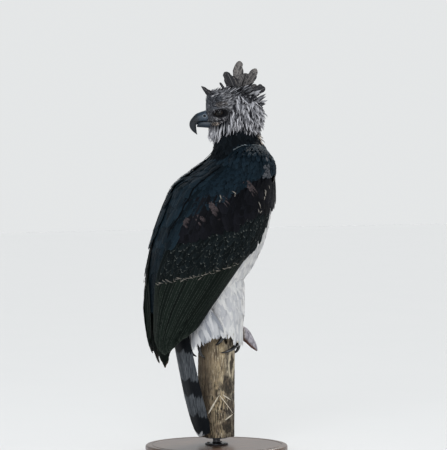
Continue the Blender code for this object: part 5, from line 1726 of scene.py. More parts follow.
barred, tree, shader = new_finish("barred_tail", 0.6, 0.15)
along, away, tint = plume_values(tree)
place = own_place(tree)
rise_of_place = axes_of(tree, place)["Z"]
swing = worked(tree, "MULTIPLY", away, -0.009)
own = worked(tree, "MULTIPLY_ADD", tint, 0.012, swing)
cloud = clouded(tree, place, 130.0, 4.0)
wisp = worked(tree, "MULTIPLY_ADD", cloud, 0.008, own)
level = worked(tree, "ADD", rise_of_place, wisp)
fine = barbs(tree, along, away, 420.0, 0.12)
streaks = clouded(tree, stretched(tree, (1, 1, 0.16)), 300.0)
colour = blended(tree, ramped(tree, away, 0.2, 1.0), TAIL_GREY, TAIL_PALE)
colour = blended(
    tree, shared(tree, ramped(tree, streaks, 0.40, 0.62), 0.75), colour, (0.030, 0.035, 0.042, 1)
)
for low, high in TAIL_BARS:
    above = ramped(tree, level, low - 0.003, low + 0.003)
    below = ramped(tree, level, high + 0.003, high - 0.003)
    colour = blended(tree, shared(tree, above, below), colour, TAIL_BLACK)
colour = blended(tree, ramped(tree, level, 0.062, 0.057), colour, (0.50, 0.50, 0.51, 1))
colour = blended(tree, shared(tree, fine, 0.20), colour, TAIL_BLACK)
colour = blended(tree, ramped(tree, away, 0.06, 0.03), colour, (0.020, 0.020, 0.022, 1))
painted(shader, colour)
raised(tree, shader, fine, 0.0002, 0.5)

across, lift, tips = [], [], []
for rank, (place_out, left, right) in enumerate(TAIL_FEATHERS):
    across += [place_out, -place_out]
    lift += [left, right]
    tips += [TAIL_TIP + 0.0016 * rank, TAIL_TIP + 0.0016 * rank + 0.001]
across, lift, tips = np.array(across), np.array(lift), np.array(tips)
count = len(across)
draw = np.random.default_rng(800)
heights = TAIL_ROOT + (tips - TAIL_ROOT)[:, None] * TAIL_SHARE
spread_out = across[:, None] * (0.70 + 0.30 * TAIL_SHARE)
point, _, slope, normal = on_shell(tail_shell, spread_out, heights, -1)
spots = in_a_row(count)
coat = vanes(
    "tail_feathers", (point, unit(-slope), normal), np.full(count, TAIL_FEATHER_HALF), TAIL_SHAPE,
    lift[:, None], draw.random(count), spots, columns=9, camber=0.06, fray=0.02,
    patch=(0.8 / count, 0.94), seed=801,
)
finished(coat, barred, "banded_plumage")

# Eyes
# Glass eyes with a dark brown iris, a black pupil and a clear glossy cornea, set deep under the
# brows. Each fills its socket behind the lids.
IRIS_SHARE = (0.62, 0.70)
PUPIL_SHARE = (0.86, 0.89)

for name, side in SIDES.items():
    eye_centre = from_head(mirrored(EYE_PLACE, side))
    aim = from_head(mirrored(EYE_AIM, side)) - from_head((0, 0, 0))
    glass_eye, tree, shader = new_finish(f"glass_eye_{name}", 0.12, 0.20)
    place = own_place(tree)
    away = moved(tree, "SUBTRACT", place, tuple(eye_centre))
    facing = measured(tree, "DOT_PRODUCT", away, tuple(aim / EYE_RADIUS))
    rays = clouded(tree, stretched(tree, (1, 1, 1)), 900.0, 3.0)
    iris = blended(tree, rays, (0.006, 0.004, 0.003, 1), (0.016, 0.010, 0.006, 1))
    colour = blended(tree, ramped(tree, facing, *IRIS_SHARE), (0.006, 0.005, 0.005, 1), iris)
    colour = blended(tree, ramped(tree, facing, *PUPIL_SHARE), colour, (0.002, 0.002, 0.002, 1))
    painted(shader, colour)
    eye = ball(f"eyeball_{name}", eye_centre, [EYE_RADIUS] * 3, rings=40, sides=80)
    finished(eye, glass_eye, "eye", f"eye_{name}")

# Bill
# A heavy hooked bill of black horn, slate grey toward the cere, with slit nostrils and a shallow
# wave in its cutting edge. Upper and lower halves are separate and close on each other.
BILL_UPPER = (
    (0.0, 0.056, 0.002, 0.050, -0.0345, 0.0175),
    (1.0, 0.070, -0.005, 0.063, -0.0348, 0.0155),
    (2.0, 0.0848, -0.010, 0.0760, -0.0358, 0.0130),
    (3.0, 0.0965, -0.015, 0.0860, -0.0378, 0.0112),
    (4.0, 0.1045, -0.0226, 0.0925, -0.0410, 0.0094),
    (5.0, 0.1113, -0.0317, 0.0965, -0.0445, 0.0076),
    (6.0, 0.1142, -0.0410, 0.0962, -0.0495, 0.0064),
    (7.0, 0.1125, -0.0510, 0.0956, -0.0568, 0.0050),
    (8.0, 0.1062, -0.0600, 0.0948, -0.0632, 0.0034),
    (9.0, 0.0945, -0.0692, 0.0935, -0.0686, 0.0008),
)
BILL_LOWER = (
    (0.0, 0.052, -0.0320, 0.052, -0.0525, 0.0150),
    (1.0, 0.063, -0.0322, 0.063, -0.0520, 0.0134),
    (2.0, 0.076, -0.0330, 0.077, -0.0508, 0.0112),
    (3.0, 0.086, -0.0352, 0.087, -0.0502, 0.0086),
    (4.0, 0.0935, -0.0405, 0.0945, -0.0495, 0.0050),
)
NOSTRIL = (0.0755, 0.0140, -0.0205)
NOSTRIL_RADII = (0.0022, 0.0036, 0.0040)
HORN_BLACK = (0.0085, 0.0120, 0.0165, 1)
HORN_SLATE = (0.028, 0.047, 0.070, 1)
HORN_CERE = (0.044, 0.064, 0.092, 1)
# Painted glint round the nostrils' rims
NOSTRIL_GLINT = (0.220, 0.260, 0.300, 1)
CUTTING_EDGE = -0.0352


def bill_half(name, rows, flat_side, rings=56, sides=48):
    """A bill half from its upper and lower points and half width, flatter where the halves meet."""
    table = smooth_table(rows)(np.linspace(0, rows[-1][0], rings))
    turn = all_round(sides) + math.pi / sides
    rise = np.cos(turn)
    flat = rise * flat_side > 0
    rise = np.where(flat, np.sign(rise) * np.abs(rise) ** 0.5, rise)
    crown = np.where(~flat, np.sin(turn) * (0.86 + 0.14 * np.abs(np.sin(turn))), np.sin(turn))
    top = np.stack((table[:, 0], 0 * table[:, 0], table[:, 1]), -1)
    low = np.stack((table[:, 2], 0 * table[:, 0], table[:, 3]), -1)
    middle, reach = (top + low) / 2, (top - low) / 2
    ring = middle[:, None] + reach[:, None] * rise[None, :, None]
    ring[..., 1] += table[:, 4:5] * crown
    return tube(name, from_head(ring), 60)


horn_of_bill, tree, shader = new_finish("horn_of_bill", 0.40, 0.35)
place = own_place(tree)
from_skull = moved(tree, "SUBTRACT", place, tuple(HEAD_PLACE))
bill_way = (math.cos(HEAD_TURN), math.sin(HEAD_TURN), 0.0)
ahead = measured(tree, "DOT_PRODUCT", from_skull, bill_way)
mottle = clouded(tree, place, 220.0, 5.0)
lines_of_growth = clouded(tree, place, 900.0, 2.0)
ahead = worked(tree, "MULTIPLY_ADD", mottle, 0.010, ahead)
colour = blended(tree, ramped(tree, ahead, 0.086, 0.104), HORN_SLATE, HORN_BLACK)
colour = blended(tree, ramped(tree, ahead, 0.084, 0.080), colour, HORN_CERE)
colour = blended(tree, shared(tree, ramped(tree, mottle, 0.52, 0.70), 0.5), colour, HORN_BLACK)
rise_in_bill = axes_of(tree, from_skull)["Z"]
below = ramped(tree, rise_in_bill, CUTTING_EDGE + 0.001, CUTTING_EDGE - 0.001)
colour = blended(tree, shared(tree, below, 0.45), colour, HORN_BLACK)
off_edge = worked(tree, "SUBTRACT", rise_in_bill, CUTTING_EDGE)
off_edge = worked(tree, "ABSOLUTE", off_edge)
edge = shared(tree, ramped(tree, off_edge, 0.0024, 0.0010), 0.9)
colour = blended(tree, edge, colour, (0.004, 0.005, 0.006, 1))
for side in SIDES.values():
    opening = tuple(from_head(mirrored(NOSTRIL, side)))
    off_nostril = measured(tree, "DISTANCE", place, opening)
    # Painted highlight: a pale glint round each nostril's rim; then painted shade darkens the opening
    # inside it
    pale = shared(tree, ramped(tree, off_nostril, 0.0064, 0.0044), 0.65)
    colour = blended(tree, pale, colour, NOSTRIL_GLINT)
    colour = blended(tree, ramped(tree, off_nostril, 0.0042, 0.0034), colour, (0.004, 0.005, 0.006, 1))
painted(shader, colour)
raised(tree, shader, lines_of_growth, 0.0003, 0.4)
upper = bill_half("upper_bill", BILL_UPPER, -1)
nostrils = []
for side in SIDES.values():
    nostrils.append(
        ball("nostril", from_head(mirrored(NOSTRIL, side)), NOSTRIL_RADII, HEAD_TURN)
    )
upper = joined_by("DIFFERENCE", upper, nostrils)
lower = bill_half("lower_bill", BILL_LOWER, 1)
for piece, part in ((upper, "bill_upper"), (lower, "bill_lower")):
    piece.name = part.replace("bill_", "") + "_bill"
    finished(piece, horn_of_bill, "horn", part)

# Face
# The smallest feathers: grey scales from the lores over the brow, cheeks and chin, dark slate on
# the forehead, shortest round the eye and the gape, where bare grey skin shows.
FACE_ROW = 0.0036
FACE_SHAPE = np.array((0.6, 1.0, 0.9, 0.5, 0.12))
FACE_DARK = (0.012, 0.012, 0.015, 1)
FACE_PALE = (0.500, 0.490, 0.505, 1)
EYE_BARE = ((0.0355, -0.0130), (0.0175, 0.0080))
GAPE = ((0.066, -0.0352), (0.057, -0.0348), (0.048, -0.0342), (0.040, -0.0334))

face_feather, tree, shader = new_finish("face_feather", 0.75, 0.15)
along, away, tint = plume_values(tree)
fine = barbs(tree, along, away, 110.0, 0.3)
colour = head_marked(tree, (0.235, 0.232, 0.245, 1))
for first, last, cover, shade in ((0.40, 0.10, 0.80, FACE_DARK), (0.62, 0.95, 0.42, FACE_PALE)):
    colour = blended(tree, shared(tree, ramped(tree, tint, first, last), cover), colour, shade)
for first, last, cover in ((0.72, 0.20, 0.85), (0.20, -0.01, 0.60)):
    colour = blended(tree, shared(tree, ramped(tree, along, first, last), cover), colour, FACE_DARK)
colour = blended(tree, shared(tree, ramped(tree, away, 0.50, 0.95), 0.55), colour, FACE_DARK)
painted(shader, colour)
raised(tree, shader, fine, 0.0002, 0.5)
draw = np.random.default_rng(900)


def close_head(turn, reach):
    """The head's surface just over its skin."""
    return head_shell(turn, reach, FACE_DEPTH)


def head_way(vectors):
    """Directions of the head's own frame in the model's frame."""
    return from_head(vectors) - from_head((0, 0, 0))


reaches = np.arange(-0.020, 0.0700, FACE_ROW)
turns, levels = rows_over(
    close_head, reaches, 0 * reaches - math.pi, 0 * reaches + math.pi, 0.0044, draw
)
root = close_head(turns, levels)
rise_in_head = root[:, 2] - HEAD_PLACE[2]
(eye_ahead, eye_up), (bare_long, bare_tall) = EYE_BARE
near_eye = ((levels - eye_ahead) / bare_long) ** 2 + ((rise_in_head - eye_up) / bare_tall) ** 2
clear = near_eye > 1
for gape_ahead, gape_up in GAPE:
    clear &= np.hypot((levels - gape_ahead) / 0.0055, (rise_in_head - gape_up) / 0.0026) > 1
turns, levels, near_eye = turns[clear], levels[clear], near_eye[clear]
count = len(turns)
drop = np.clip(-np.cos(turns), -0.2, 1)[:, None]
grown = np.interp(levels, (-0.02, 0.03, 0.068), (2.2, 1.55, 1.05)) * draw.uniform(0.8, 1.25, count)
grown *= np.interp(near_eye, (1, 2.6), (0.55, 1.0))
feathered(
    "face_feathers", close_head, (turns, levels), 0.0088 * grown, 0.0019 * grown,
    (BODY_SHARE, FACE_SHAPE), np.array((-0.0008, 0.0004, 0.0010, 0.0018, 0.0026)) * grown[:, None],
    (face_feather, "grey_plumage"), draw, 0.24, -1, loose=0.0002, tints=draw.random(count) ** 0.8,
    heading=unit(head_way(np.array((-1.0, 0, 0))) + drop * (0, 0, -1.1)), thickness=0.0002, seed=901,
)

# Brows and lores
# Slightly longer feathers lie back along both brow ridges and round the bill's root, where they
# start upright, like bristles.
FRONT_RIM = 0.0675
BRISTLES = 96
BROW_ROWS = 40
BRISTLE_SHARE = np.array((0.0, 0.3, 0.6, 0.85, 1.0))


def from_axis(turns):
    """Directions straight out from the head's long axis."""
    return head_way(np.stack((0 * turns, np.sin(turns), np.cos(turns)), -1))


def sprung(root, first_way, last_way, flat, length, share):
    """Free lines that start along one direction and bend to another, with outward normals."""
    part = share[None, :, None]
    bend = (last_way - first_way)[:, None]
    points = root[:, None] + length[:, None, None] * (first_way[:, None] * part + bend * part**2 / 2)
    way = unit(first_way[:, None] + bend * part)
    normal = unit(flat[:, None] - way * dot(way, flat[:, None])[..., None])
    return points, way, normal


draw = np.random.default_rng(930)
turns = np.linspace(-math.pi, math.pi, BRISTLES, endpoint=False) + draw.normal(0, 0.03, BRISTLES)
rim = head_shell(turns, np.full(BRISTLES, FRONT_RIM), 0.0045)
radial = from_axis(turns)
roots, ways, flats = [rim], [radial * 0.75], [radial]
behind = head_way(np.array((-1.0, 0, 0)))
for side in SIDES.values():
    brow_path = mirrored(BROW, side)
    along_brow = np.linspace(0, 1, BROW_ROWS)
    stations = np.linspace(0, 1, len(BROW))
    middle = np.stack([np.interp(along_brow, stations, brow_path[:, k]) for k in range(3)], -1)
    for tilt in (1.0, 0.4):
        outward = np.tile(np.array((0.0, side * math.cos(tilt), math.sin(tilt))), (BROW_ROWS, 1))
        spread_out = middle + outward * (np.interp(along_brow, stations, BROW_RADII)[:, None] - 0.0012)
        roots.append(from_head(spread_out + (0.003, 0, 0) + draw.normal(0, 0.0008, (BROW_ROWS, 3))))
        ways.append(head_way(outward * 0.45))
        flats.append(head_way(outward))
root, way, flat = (np.concatenate(rows) for rows in (roots, ways, flats))
count = len(root)
first_way = unit(way + behind * 0.8 + draw.normal(0, 0.10, (count, 3)))
last_way = unit(way * 0.3 + behind * 1.2 + draw.normal(0, 0.10, (count, 3)))
length = 0.0105 * draw.uniform(0.75, 1.25, count)
lines = sprung(root, first_way, last_way, flat, length, BRISTLE_SHARE)
spots = in_a_row(count)
coat = vanes(
    "brow_feathers", lines, 0.0019 * draw.uniform(0.8, 1.2, count), FACE_SHAPE, 0 * BRISTLE_SHARE,
    draw.random(count), spots, thickness=0.0002, camber=0.2, fray=0.12, patch=(0.8 / count, 0.02),
    seed=931,
)
finished(coat, face_feather, "grey_plumage")

gape_skin, tree, shader = new_finish("gape_skin", 0.6)
shader.inputs["Base Color"].default_value = (0.006, 0.006, 0.007, 1)
lines = []
steps = np.radians(np.linspace(50, 150, 60))
for side in SIDES.values():
    turns = []
    for ahead, up in GAPE:
        heights = close_head(side * steps, np.full(60, ahead))[:, 2] - HEAD_PLACE[2]
        turns.append(side * np.interp(-up, -heights, steps))
    part = np.linspace(0, len(GAPE) - 1, 9)
    turns = np.interp(part, range(len(GAPE)), turns)
    ahead = np.interp(part, range(len(GAPE)), [row[0] for row in GAPE])
    point, _, _, normal = on_shell(close_head, turns, ahead, -1)
    lines.append((point, unit(np.gradient(point, axis=0)), normal))
lines = [np.stack(rows) for rows in zip(*lines)]
gape_shape = (0.6, 0.8, 1.0, 1.0, 0.95, 0.85, 0.7, 0.45, 0.1)
coat = vanes(
    "gape_lines", lines, (0.0014, 0.0014), gape_shape, 0.0026, (0.5, 0.5), ((0.25, 0.5), (0.75, 0.5)),
    thickness=0.0004, camber=0.3, fray=0.15, patch=(0.3, 0.3), seed=935,
)
finished(coat, gape_skin, "grey_plumage")

# Ruff
# Long narrow loose strands that frame the face. They spring from behind the eye and the crown,
# hang down the cheeks in waves and sweep out over the neck behind, with dark gaps between them. The
# darkest strands and the strands' dark roots and edges are painted with the gaps' shade.
RUFF_SHARE = np.array((0.0, 0.18, 0.36, 0.54, 0.71, 0.86, 1.0))
RUFF_SHAPE = np.array((0.60, 0.90, 1.0, 0.98, 0.86, 0.58, 0.10))
RUFF_LEVELS = (-0.058, -0.030, 0.0, 0.030, 0.056)
# Places forward on the head, and the bearings from the crown where the ruff starts there
RUFF_EDGE = ((-0.058, -0.03, -0.012, 0.002, 0.014, 0.030, 0.060), (6, 12, 28, 60, 100, 134, 150))
# Painted shade of the dark gaps between strands
STRAND_GAP_SHADE = (0.014, 0.014, 0.017, 1)


def waved(lines, share, height, waves, phase):
    """Free lines swung from side to side along their length, more toward the tip."""
    points, way, normal = lines
    swing = np.sin(
        2 * math.pi * (waves * share + phase[:, None])
    ) - np.sin(2 * math.pi * phase)[:, None]
    points = points + np.cross(normal, way) * (height[:, None] * swing * share**0.5)[..., None]
    return points, unit(np.gradient(points, axis=1)), normal


def strand_finish(name, light, middle):
    """Loose head plumes: pale, middling and dark strands, darker toward the root and the edges, where
    the dark is painted shade of the gaps between strands.
    """
    material, tree, shader = new_finish(name, 0.7, 0.2)
    along, away, tint = plume_values(tree)
    fine = barbs(tree, along, away, 130.0, 0.3)
    colour = blended(tree, ramped(tree, tint, 0.24, 0.40), STRAND_GAP_SHADE, middle)
    colour = blended(tree, ramped(tree, tint, 0.46, 0.88), colour, light)
    colour = blended(tree, ramped(tree, along, 0.62, 0.08), colour, STRAND_GAP_SHADE)
    colour = blended(tree, shared(tree, ramped(tree, away, 0.55, 0.95), 0.55), colour, STRAND_GAP_SHADE)
    painted(shader, colour)
    raised(tree, shader, fine, 0.0002, 0.5)
    return material


ruff_strand = strand_finish("ruff_strand", (0.560, 0.550, 0.575, 1), (0.170, 0.170, 0.185, 1))
draw = np.random.default_rng(950)
reaches = np.arange(-0.060, 0.061, 0.0038)[::-1]
side_turns, side_levels = [], []
for side in SIDES.values():
    first = np.radians(np.interp(reaches, *RUFF_EDGE))
    turns, levels = rows_over(
        close_head, reaches, side * first, side * math.pi + 0 * reaches, 0.0033, draw
    )
    side_turns.append(turns)
    side_levels.append(levels)
turns, levels = np.concatenate(side_turns), np.concatenate(side_levels)
count = len(turns)
root = close_head(turns, levels)
radial = from_axis(turns)
low = np.clip(0.5 - 0.5 * np.cos(turns), 0, 1)[:, None]
first_back = np.interp(levels, RUFF_LEVELS, (1.15, 0.68, 0.38, -0.06, 0.0))[:, None]
last_back = np.interp(levels, RUFF_LEVELS, (0.42, 0.04, -0.12, -0.36, -0.10))[:, None]
first_way = radial * (0.75 - 0.25 * low) + behind * first_back - np.array((0, 0, 0.75)) * low
last_way = radial * (0.20 - 0.16 * low) + behind * last_back - np.array((0, 0, 1.05))
length = np.interp(
    levels, RUFF_LEVELS, (0.038, 0.047, 0.052, 0.054, 0.047)
) * draw.uniform(0.75, 1.15, count)
length *= np.interp(np.cos(turns), (-1, -0.6, 0.6, 1), (0.86, 1.0, 0.92, 0.66))
lines = sprung(
    root - radial * 0.003, unit(first_way + draw.normal(0, 0.09, (count, 3))),
    unit(last_way + draw.normal(0, 0.11, (count, 3))), radial, length, RUFF_SHARE,
)
phase = np.abs(turns) * 2.2 + levels * 30 + draw.normal(0, 0.10, count)
lines = waved(lines, RUFF_SHARE, 0.0020 * draw.uniform(0.5, 1.3, count), 1.6, phase)
tints = np.clip(
    draw.random(count) + np.interp(levels, (-0.055, -0.02, 0.01, 0.03), (0.22, 0.02, 0.08, 0.44)), 0, 1
)
coat = vanes(
    "ruff_strands", lines, 0.0024 * draw.uniform(0.65, 1.35, count), RUFF_SHAPE, 0 * RUFF_SHARE,
    tints, unwrapped(turns, levels), lean=draw.normal(0, 0.40, count), thickness=0.0003,
    camber=0.25, fray=0.10, seed=951,
)
finished(coat, ruff_strand, "grey_plumage")

# Crown
# Short upright plumes, dark with pale tips over the forehead and soft grey behind, thicken the
# crown and bed the crest's roots. Their dark roots and edges are partly painted shade between the
# plumes.
crown_plume = strand_finish("crown_plume", (0.520, 0.510, 0.530, 1), (0.175, 0.174, 0.186, 1))
draw = np.random.default_rng(965)
reaches = np.arange(-0.056, 0.066, 0.0062)
widest = np.radians(np.interp(reaches, (-0.056, -0.01, 0.03, 0.066), (75, 52, 42, 55)))
turns, levels = rows_over(close_head, reaches, -widest, widest, 0.0062, draw)
count = len(turns)
root = close_head(turns, levels)
radial = from_axis(turns)
first_back = np.interp(levels, (-0.056, -0.02, 0.03, 0.066), (0.8, 0.5, 0.9, 0.5))[:, None]
first_way = unit(radial + behind * first_back + draw.normal(0, 0.15, (count, 3)))
last_way = unit(radial * 0.7 + behind * (first_back + 0.7) + draw.normal(0, 0.18, (count, 3)))
length = np.interp(levels, (-0.056, -0.03, 0.0, 0.03, 0.066), (0.034, 0.032, 0.026, 0.016, 0.013))
length = length * draw.uniform(0.7, 1.25, count)
lines = sprung(root - radial * 0.002, first_way, last_way, radial, length, RUFF_SHARE)
half = 0.08 * length * draw.uniform(0.8, 1.3, count) + 0.0009
coat = vanes(
    "crown_plumes", lines, half, RUFF_SHAPE, 0 * RUFF_SHARE, draw.random(count),
    unwrapped(turns, levels), lean=draw.normal(0, 0.5, count), thickness=0.0003, camber=0.25, fray=0.14,
    seed=966,
)
finished(coat, crown_plume, "grey_plumage")

# Crest
# Two fans of broad raised feathers on the crown and nape, and a pointed tuft over the forehead.
# They are dusky grey brown with darker mottling and a pale shaft, and their edges are frayed.

# Root and tip in the head's frame, half width, turn about the upright in degrees and shade
CREST = (
    ((-0.008, 0.008, 0.042), (0.0244, 0.012, 0.0930), 0.0104, 12, 0.32),
    ((-0.010, 0.002, 0.042), (0.0050, 0.002, 0.0830), 0.0110, -20, 0.12),
    ((-0.006, 0.011, 0.042), (0.0170, 0.015, 0.0925), 0.0078, 2, 0.10),
    ((-0.012, 0.010, 0.044), (-0.0260, 0.011, 0.0880), 0.0080, -16, 0.50),
    ((-0.010, 0.006, 0.044), (-0.0179, 0.006, 0.1225), 0.0116, -8, 0.85),
    ((-0.026, 0.014, 0.042), (-0.0490, 0.019, 0.0930), 0.0080, 8, 0.60),
    ((-0.030, 0.010, 0.042), (-0.0603, 0.014, 0.1020), 0.0104, 14, 1.05),
    ((-0.032, 0.013, 0.040), (-0.0590, 0.018, 0.0860), 0.0078, 22, 0.60),
    ((-0.022, 0.004, 0.042), (-0.0370, 0.004, 0.0900), 0.0110, -10, 0.45),
    ((-0.040, 0.024, 0.034), (-0.0580, 0.030, 0.0610), 0.0080, 16, 0.45),
    ((-0.044, 0.024, 0.034), (-0.0740, 0.030, 0.0590), 0.0075, 4, 0.20),
    ((-0.044, 0.026, 0.030), (-0.0815, 0.032, 0.0520), 0.0085, -12, 0.15),
    ((0.018, 0.012, 0.040), (0.0364, 0.016, 0.0660), 0.0036, 20, 0.0),
    ((0.056, 0.008, 0.030), (0.0837, 0.010, 0.0570), 0.0078, -15, 0.10),
    ((0.057, 0.004, 0.034), (0.0770, 0.003, 0.0500), 0.0060, 12, 0.20),
    ((0.056, 0.014, 0.032), (0.0700, 0.018, 0.0450), 0.0048, -8, 0.20),
    ((0.004, -0.010, 0.040), (0.0200, -0.028, 0.0800), 0.0105, -62, 0.15),
    ((-0.012, -0.012, 0.042), (-0.0080, -0.034, 0.1040), 0.0120, -70, 0.45),
    ((-0.026, -0.012, 0.042), (-0.0200, -0.034, 0.1080), 0.0120, -60, 0.60),
    ((-0.036, -0.010, 0.038), (-0.0560, -0.032, 0.0880), 0.0100, -48, 0.45),
    ((-0.046, -0.012, 0.030), (-0.0770, -0.028, 0.0560), 0.0080, -40, 0.30),
)
CREST_SHARE = np.array((0, 0.12, 0.26, 0.40, 0.53, 0.65, 0.76, 0.85, 0.92, 0.97, 1.0))
CREST_SHAPE = np.array((0.34, 0.56, 0.76, 0.90, 0.98, 1.0, 0.97, 0.89, 0.74, 0.48, 0.08))
TUFT_SHAPE = np.array((0.80, 1.0, 1.0, 0.94, 0.84, 0.72, 0.58, 0.43, 0.29, 0.16, 0.05))
TUFT_REACH = 0.055

crest_feather, tree, shader = new_finish("crest_feather", 0.62, 0.2)
along, away, tint = plume_values(tree)
place = own_place(tree)
blotch = clouded(tree, place, 190.0, 4.0)
fine = barbs(tree, along, away, 260.0, 0.35)
colour = blended(
    tree, ramped(tree, tint, 0.05, 0.9), (0.030, 0.030, 0.034, 1), (0.215, 0.198, 0.188, 1)
)
dark_blotch = shared(tree, ramped(tree, blotch, 0.48, 0.60), 0.80)
colour = blended(tree, dark_blotch, colour, (0.026, 0.026, 0.030, 1))
border = shared(tree, ramped(tree, away, 0.80, 0.98), 0.65)
colour = blended(tree, border, colour, (0.020, 0.020, 0.023, 1))
colour = blended(tree, shared(tree, fine, 0.25), colour, (0.016, 0.016, 0.018, 1))
shaft = shared(tree, ramped(tree, away, 0.09, 0.04), ramped(tree, along, 1.0, 0.70))
colour = blended(tree, shared(tree, shaft, 0.55), colour, (0.32, 0.30, 0.29, 1))
painted(shader, colour)
raised(tree, shader, fine, 0.0003, 0.6)

roots, tips = (np.array([row[k] for row in CREST]) for k in (0, 1))
halves, turns, tints = np.array([row[2:] for row in CREST]).T
turns = np.radians(turns)
rise = tips - roots
sideways = np.stack((np.cos(turns), np.sin(turns), 0 * turns), -1)
side = unit(sideways - rise * (dot(rise, sideways) / dot(rise, rise))[:, None])
flats = np.cross(side, unit(rise))
reach = np.linalg.norm(rise, axis=1)
bow = np.cross(unit(rise), flats) * (np.where(rise[:, 0] < 0, 0.11, -0.05) * reach)[:, None]
part = CREST_SHARE[None, :, None]
points = roots[:, None] + rise[:, None] * part + bow[:, None] * np.sin(math.pi * part) * 0.5
way = unit(np.gradient(points, axis=1))
normal = unit(flats[:, None] - way * dot(way, flats[:, None])[..., None])
count = len(CREST)
spots = in_a_row(count)
in_tuft = roots[:, :1] >= TUFT_REACH
coat = vanes("crest_feathers", (from_head(points), head_way(way), head_way(normal)), halves,
             np.where(in_tuft, TUFT_SHAPE, CREST_SHAPE),
             0 * CREST_SHARE, tints, spots, columns=9, camber=0.16, thickness=0.0004, fray=0.15,
             patch=(0.8 / count, 0.94), seed=981)
finished(coat, crest_feather, "grey_plumage")

# Feet
# Thick yellow scaled toes grip the trunk's broken top: broad scutes across their upper sides,
# small round scales elsewhere. The tarsus rises into the thigh's plumage.
PALM = (-0.005, 0.027, 0.334)
TARSUS_RADIUS = 0.0130
TOE_RADIUS = 0.0104
TOE_LINE = 0.0615
TOES = {
    "right": ((1, -165, 0.300), (2, -2, 0.292), (3, -61, 0.288), (4, -104, 0.312)),
    "left": ((1, 160, 0.300), (2, 24, 0.290), (3, 50, 0.284), (4, 88, 0.304)),
}
SCUTE_STEP = 0.0046
SCUTE_RISE = 0.0009
SCALE_YELLOW = (0.52, 0.36, 0.085, 1)
SCALE_PALE = (0.62, 0.50, 0.22, 1)
# Brown of the seams between scales, also used as painted shade in the creases
SEAM_AND_SHADE_BROWN = (0.16, 0.10, 0.035, 1)


def toe_route(side, bearing, end):
    """The toe's middle line, from the palm over the trunk's edge and down its side."""
    palm = np.array((PALM[0] * -side, PALM[1] * side, PALM[2]))
    turn = math.radians(bearing)
    out = np.array((math.cos(turn), math.sin(turn), 0.0))
    top = PERCH_TOP + TOE_RADIUS + 0.001
    edge = out * (TOE_LINE - 0.013)
    shelf = palm + (edge - palm) * 0.55
    route = [palm, np.array((shelf[0], shelf[1], top + 0.004)), edge + (0, 0, top + 0.001)]
    for inward, drop in ((0.005, -0.003), (0.001, -0.010)):
        route.append(out * (TOE_LINE - inward) + (0, 0, top + drop))
    route.append(out * TOE_LINE + (0, 0, min((top + end) / 2 - 0.004, top - 0.013)))
    route.append(out * TOE_LINE + (0, 0, min(end, top - 0.016)))
    return np.array(route)


def scuted_tube(name, path, radius, end_share, rings, sides=36):
    """A toe with knuckles and raised scutes across its outer side."""
    path = np.asarray(path, float)
    t = np.linspace(0, 1, rings)
    reach = np.linalg.norm(np.diff(path, axis=0), axis=1).sum()
    plain = bent_tube(path, np.full(len(path), radius), sides, rings)
    middle = plain.mean(1, keepdims=True)
    axis = middle[:, 0]
    outward = unit(plain - middle)
    along = unit(np.gradient(axis, axis=0))
    trunk_out = axis * (1, 1, 0)
    lifted = unit(trunk_out * 0.6 / max(np.abs(trunk_out).max(), 1e-6) + np.array((0, 0, 1.0)))
    lifted = unit(lifted - along * dot(lifted, along)[:, None])
    top_side = np.clip((outward * lifted[:, None]).sum(-1) * 1.6 - 0.2, 0, 1)
    phase = (t * reach / SCUTE_STEP) % 1.0
    scute = (1 - (2 * phase - 1) ** 8)[:, None] * top_side
    knuckle = 0.07 * np.cos(2 * math.pi * t * reach / 0.019)[:, None]
    taper = np.interp(t, (0, 0.75, 0.93, 1.0), (1.08, 1.0, end_share, end_share * 0.55))[:, None]
    pads = soft_noise(
        plain.reshape(-1, 3) * 420, 1.0, 9
    ).reshape(plain.shape[:2]) * 0.0004 * (1 - top_side)
    size = radius * taper * (1 + knuckle) + SCUTE_RISE * scute + pads
    return tube(name, middle + outward * size[..., None], 60)


foot_skin, tree, shader = new_finish("foot_scales", 0.5)
place = own_place(tree)
cells = node(
    tree, "ShaderNodeTexVoronoi", {"Vector": place, "Scale": 520.0}, feature="DISTANCE_TO_EDGE"
).outputs[0]
seam = ramped(tree, cells, 0.14, 0.03)
tone = clouded(tree, place, 90.0, 4.0)
colour = blended(tree, tone, SCALE_YELLOW, SCALE_PALE)
colour = blended(tree, shared(tree, seam, 0.7), colour, SEAM_AND_SHADE_BROWN)
# Painted shade: the scales are darkened with the seams' brown where the surface is hollow, in creases
# and between toes
crease_shade = node(tree, "ShaderNodeNewGeometry").outputs["Pointiness"]
colour = blended(tree, ramped(tree, crease_shade, 0.485, 0.44), colour, SEAM_AND_SHADE_BROWN)
painted(shader, colour)
raised(tree, shader, cells, 0.0008, 0.5)
for name, side in SIDES.items():
    palm = np.array((PALM[0] * -side, PALM[1] * side, PALM[2]))
    shank = palm + np.array(((0, 0, 0), (-0.001, 0.003 * side, 0.018), (-0.004, 0.008 * side, 0.046)))
    foot = scuted_tube("foot", shank, TARSUS_RADIUS, 1.0, 80)
    others = [ball("palm", palm, (0.0165, 0.0155, 0.0125))]
    for digit, bearing, end in TOES[name]:
        others.append(scuted_tube("toe", toe_route(side, bearing, end), TOE_RADIUS, 0.84, 150))
    foot = joined_by("UNION", foot, others)
    foot.name = f"scaled_foot_{name}"
    foot.data.shade_smooth()
    finished(foot, foot_skin, "foot_scales", f"foot_{name}")

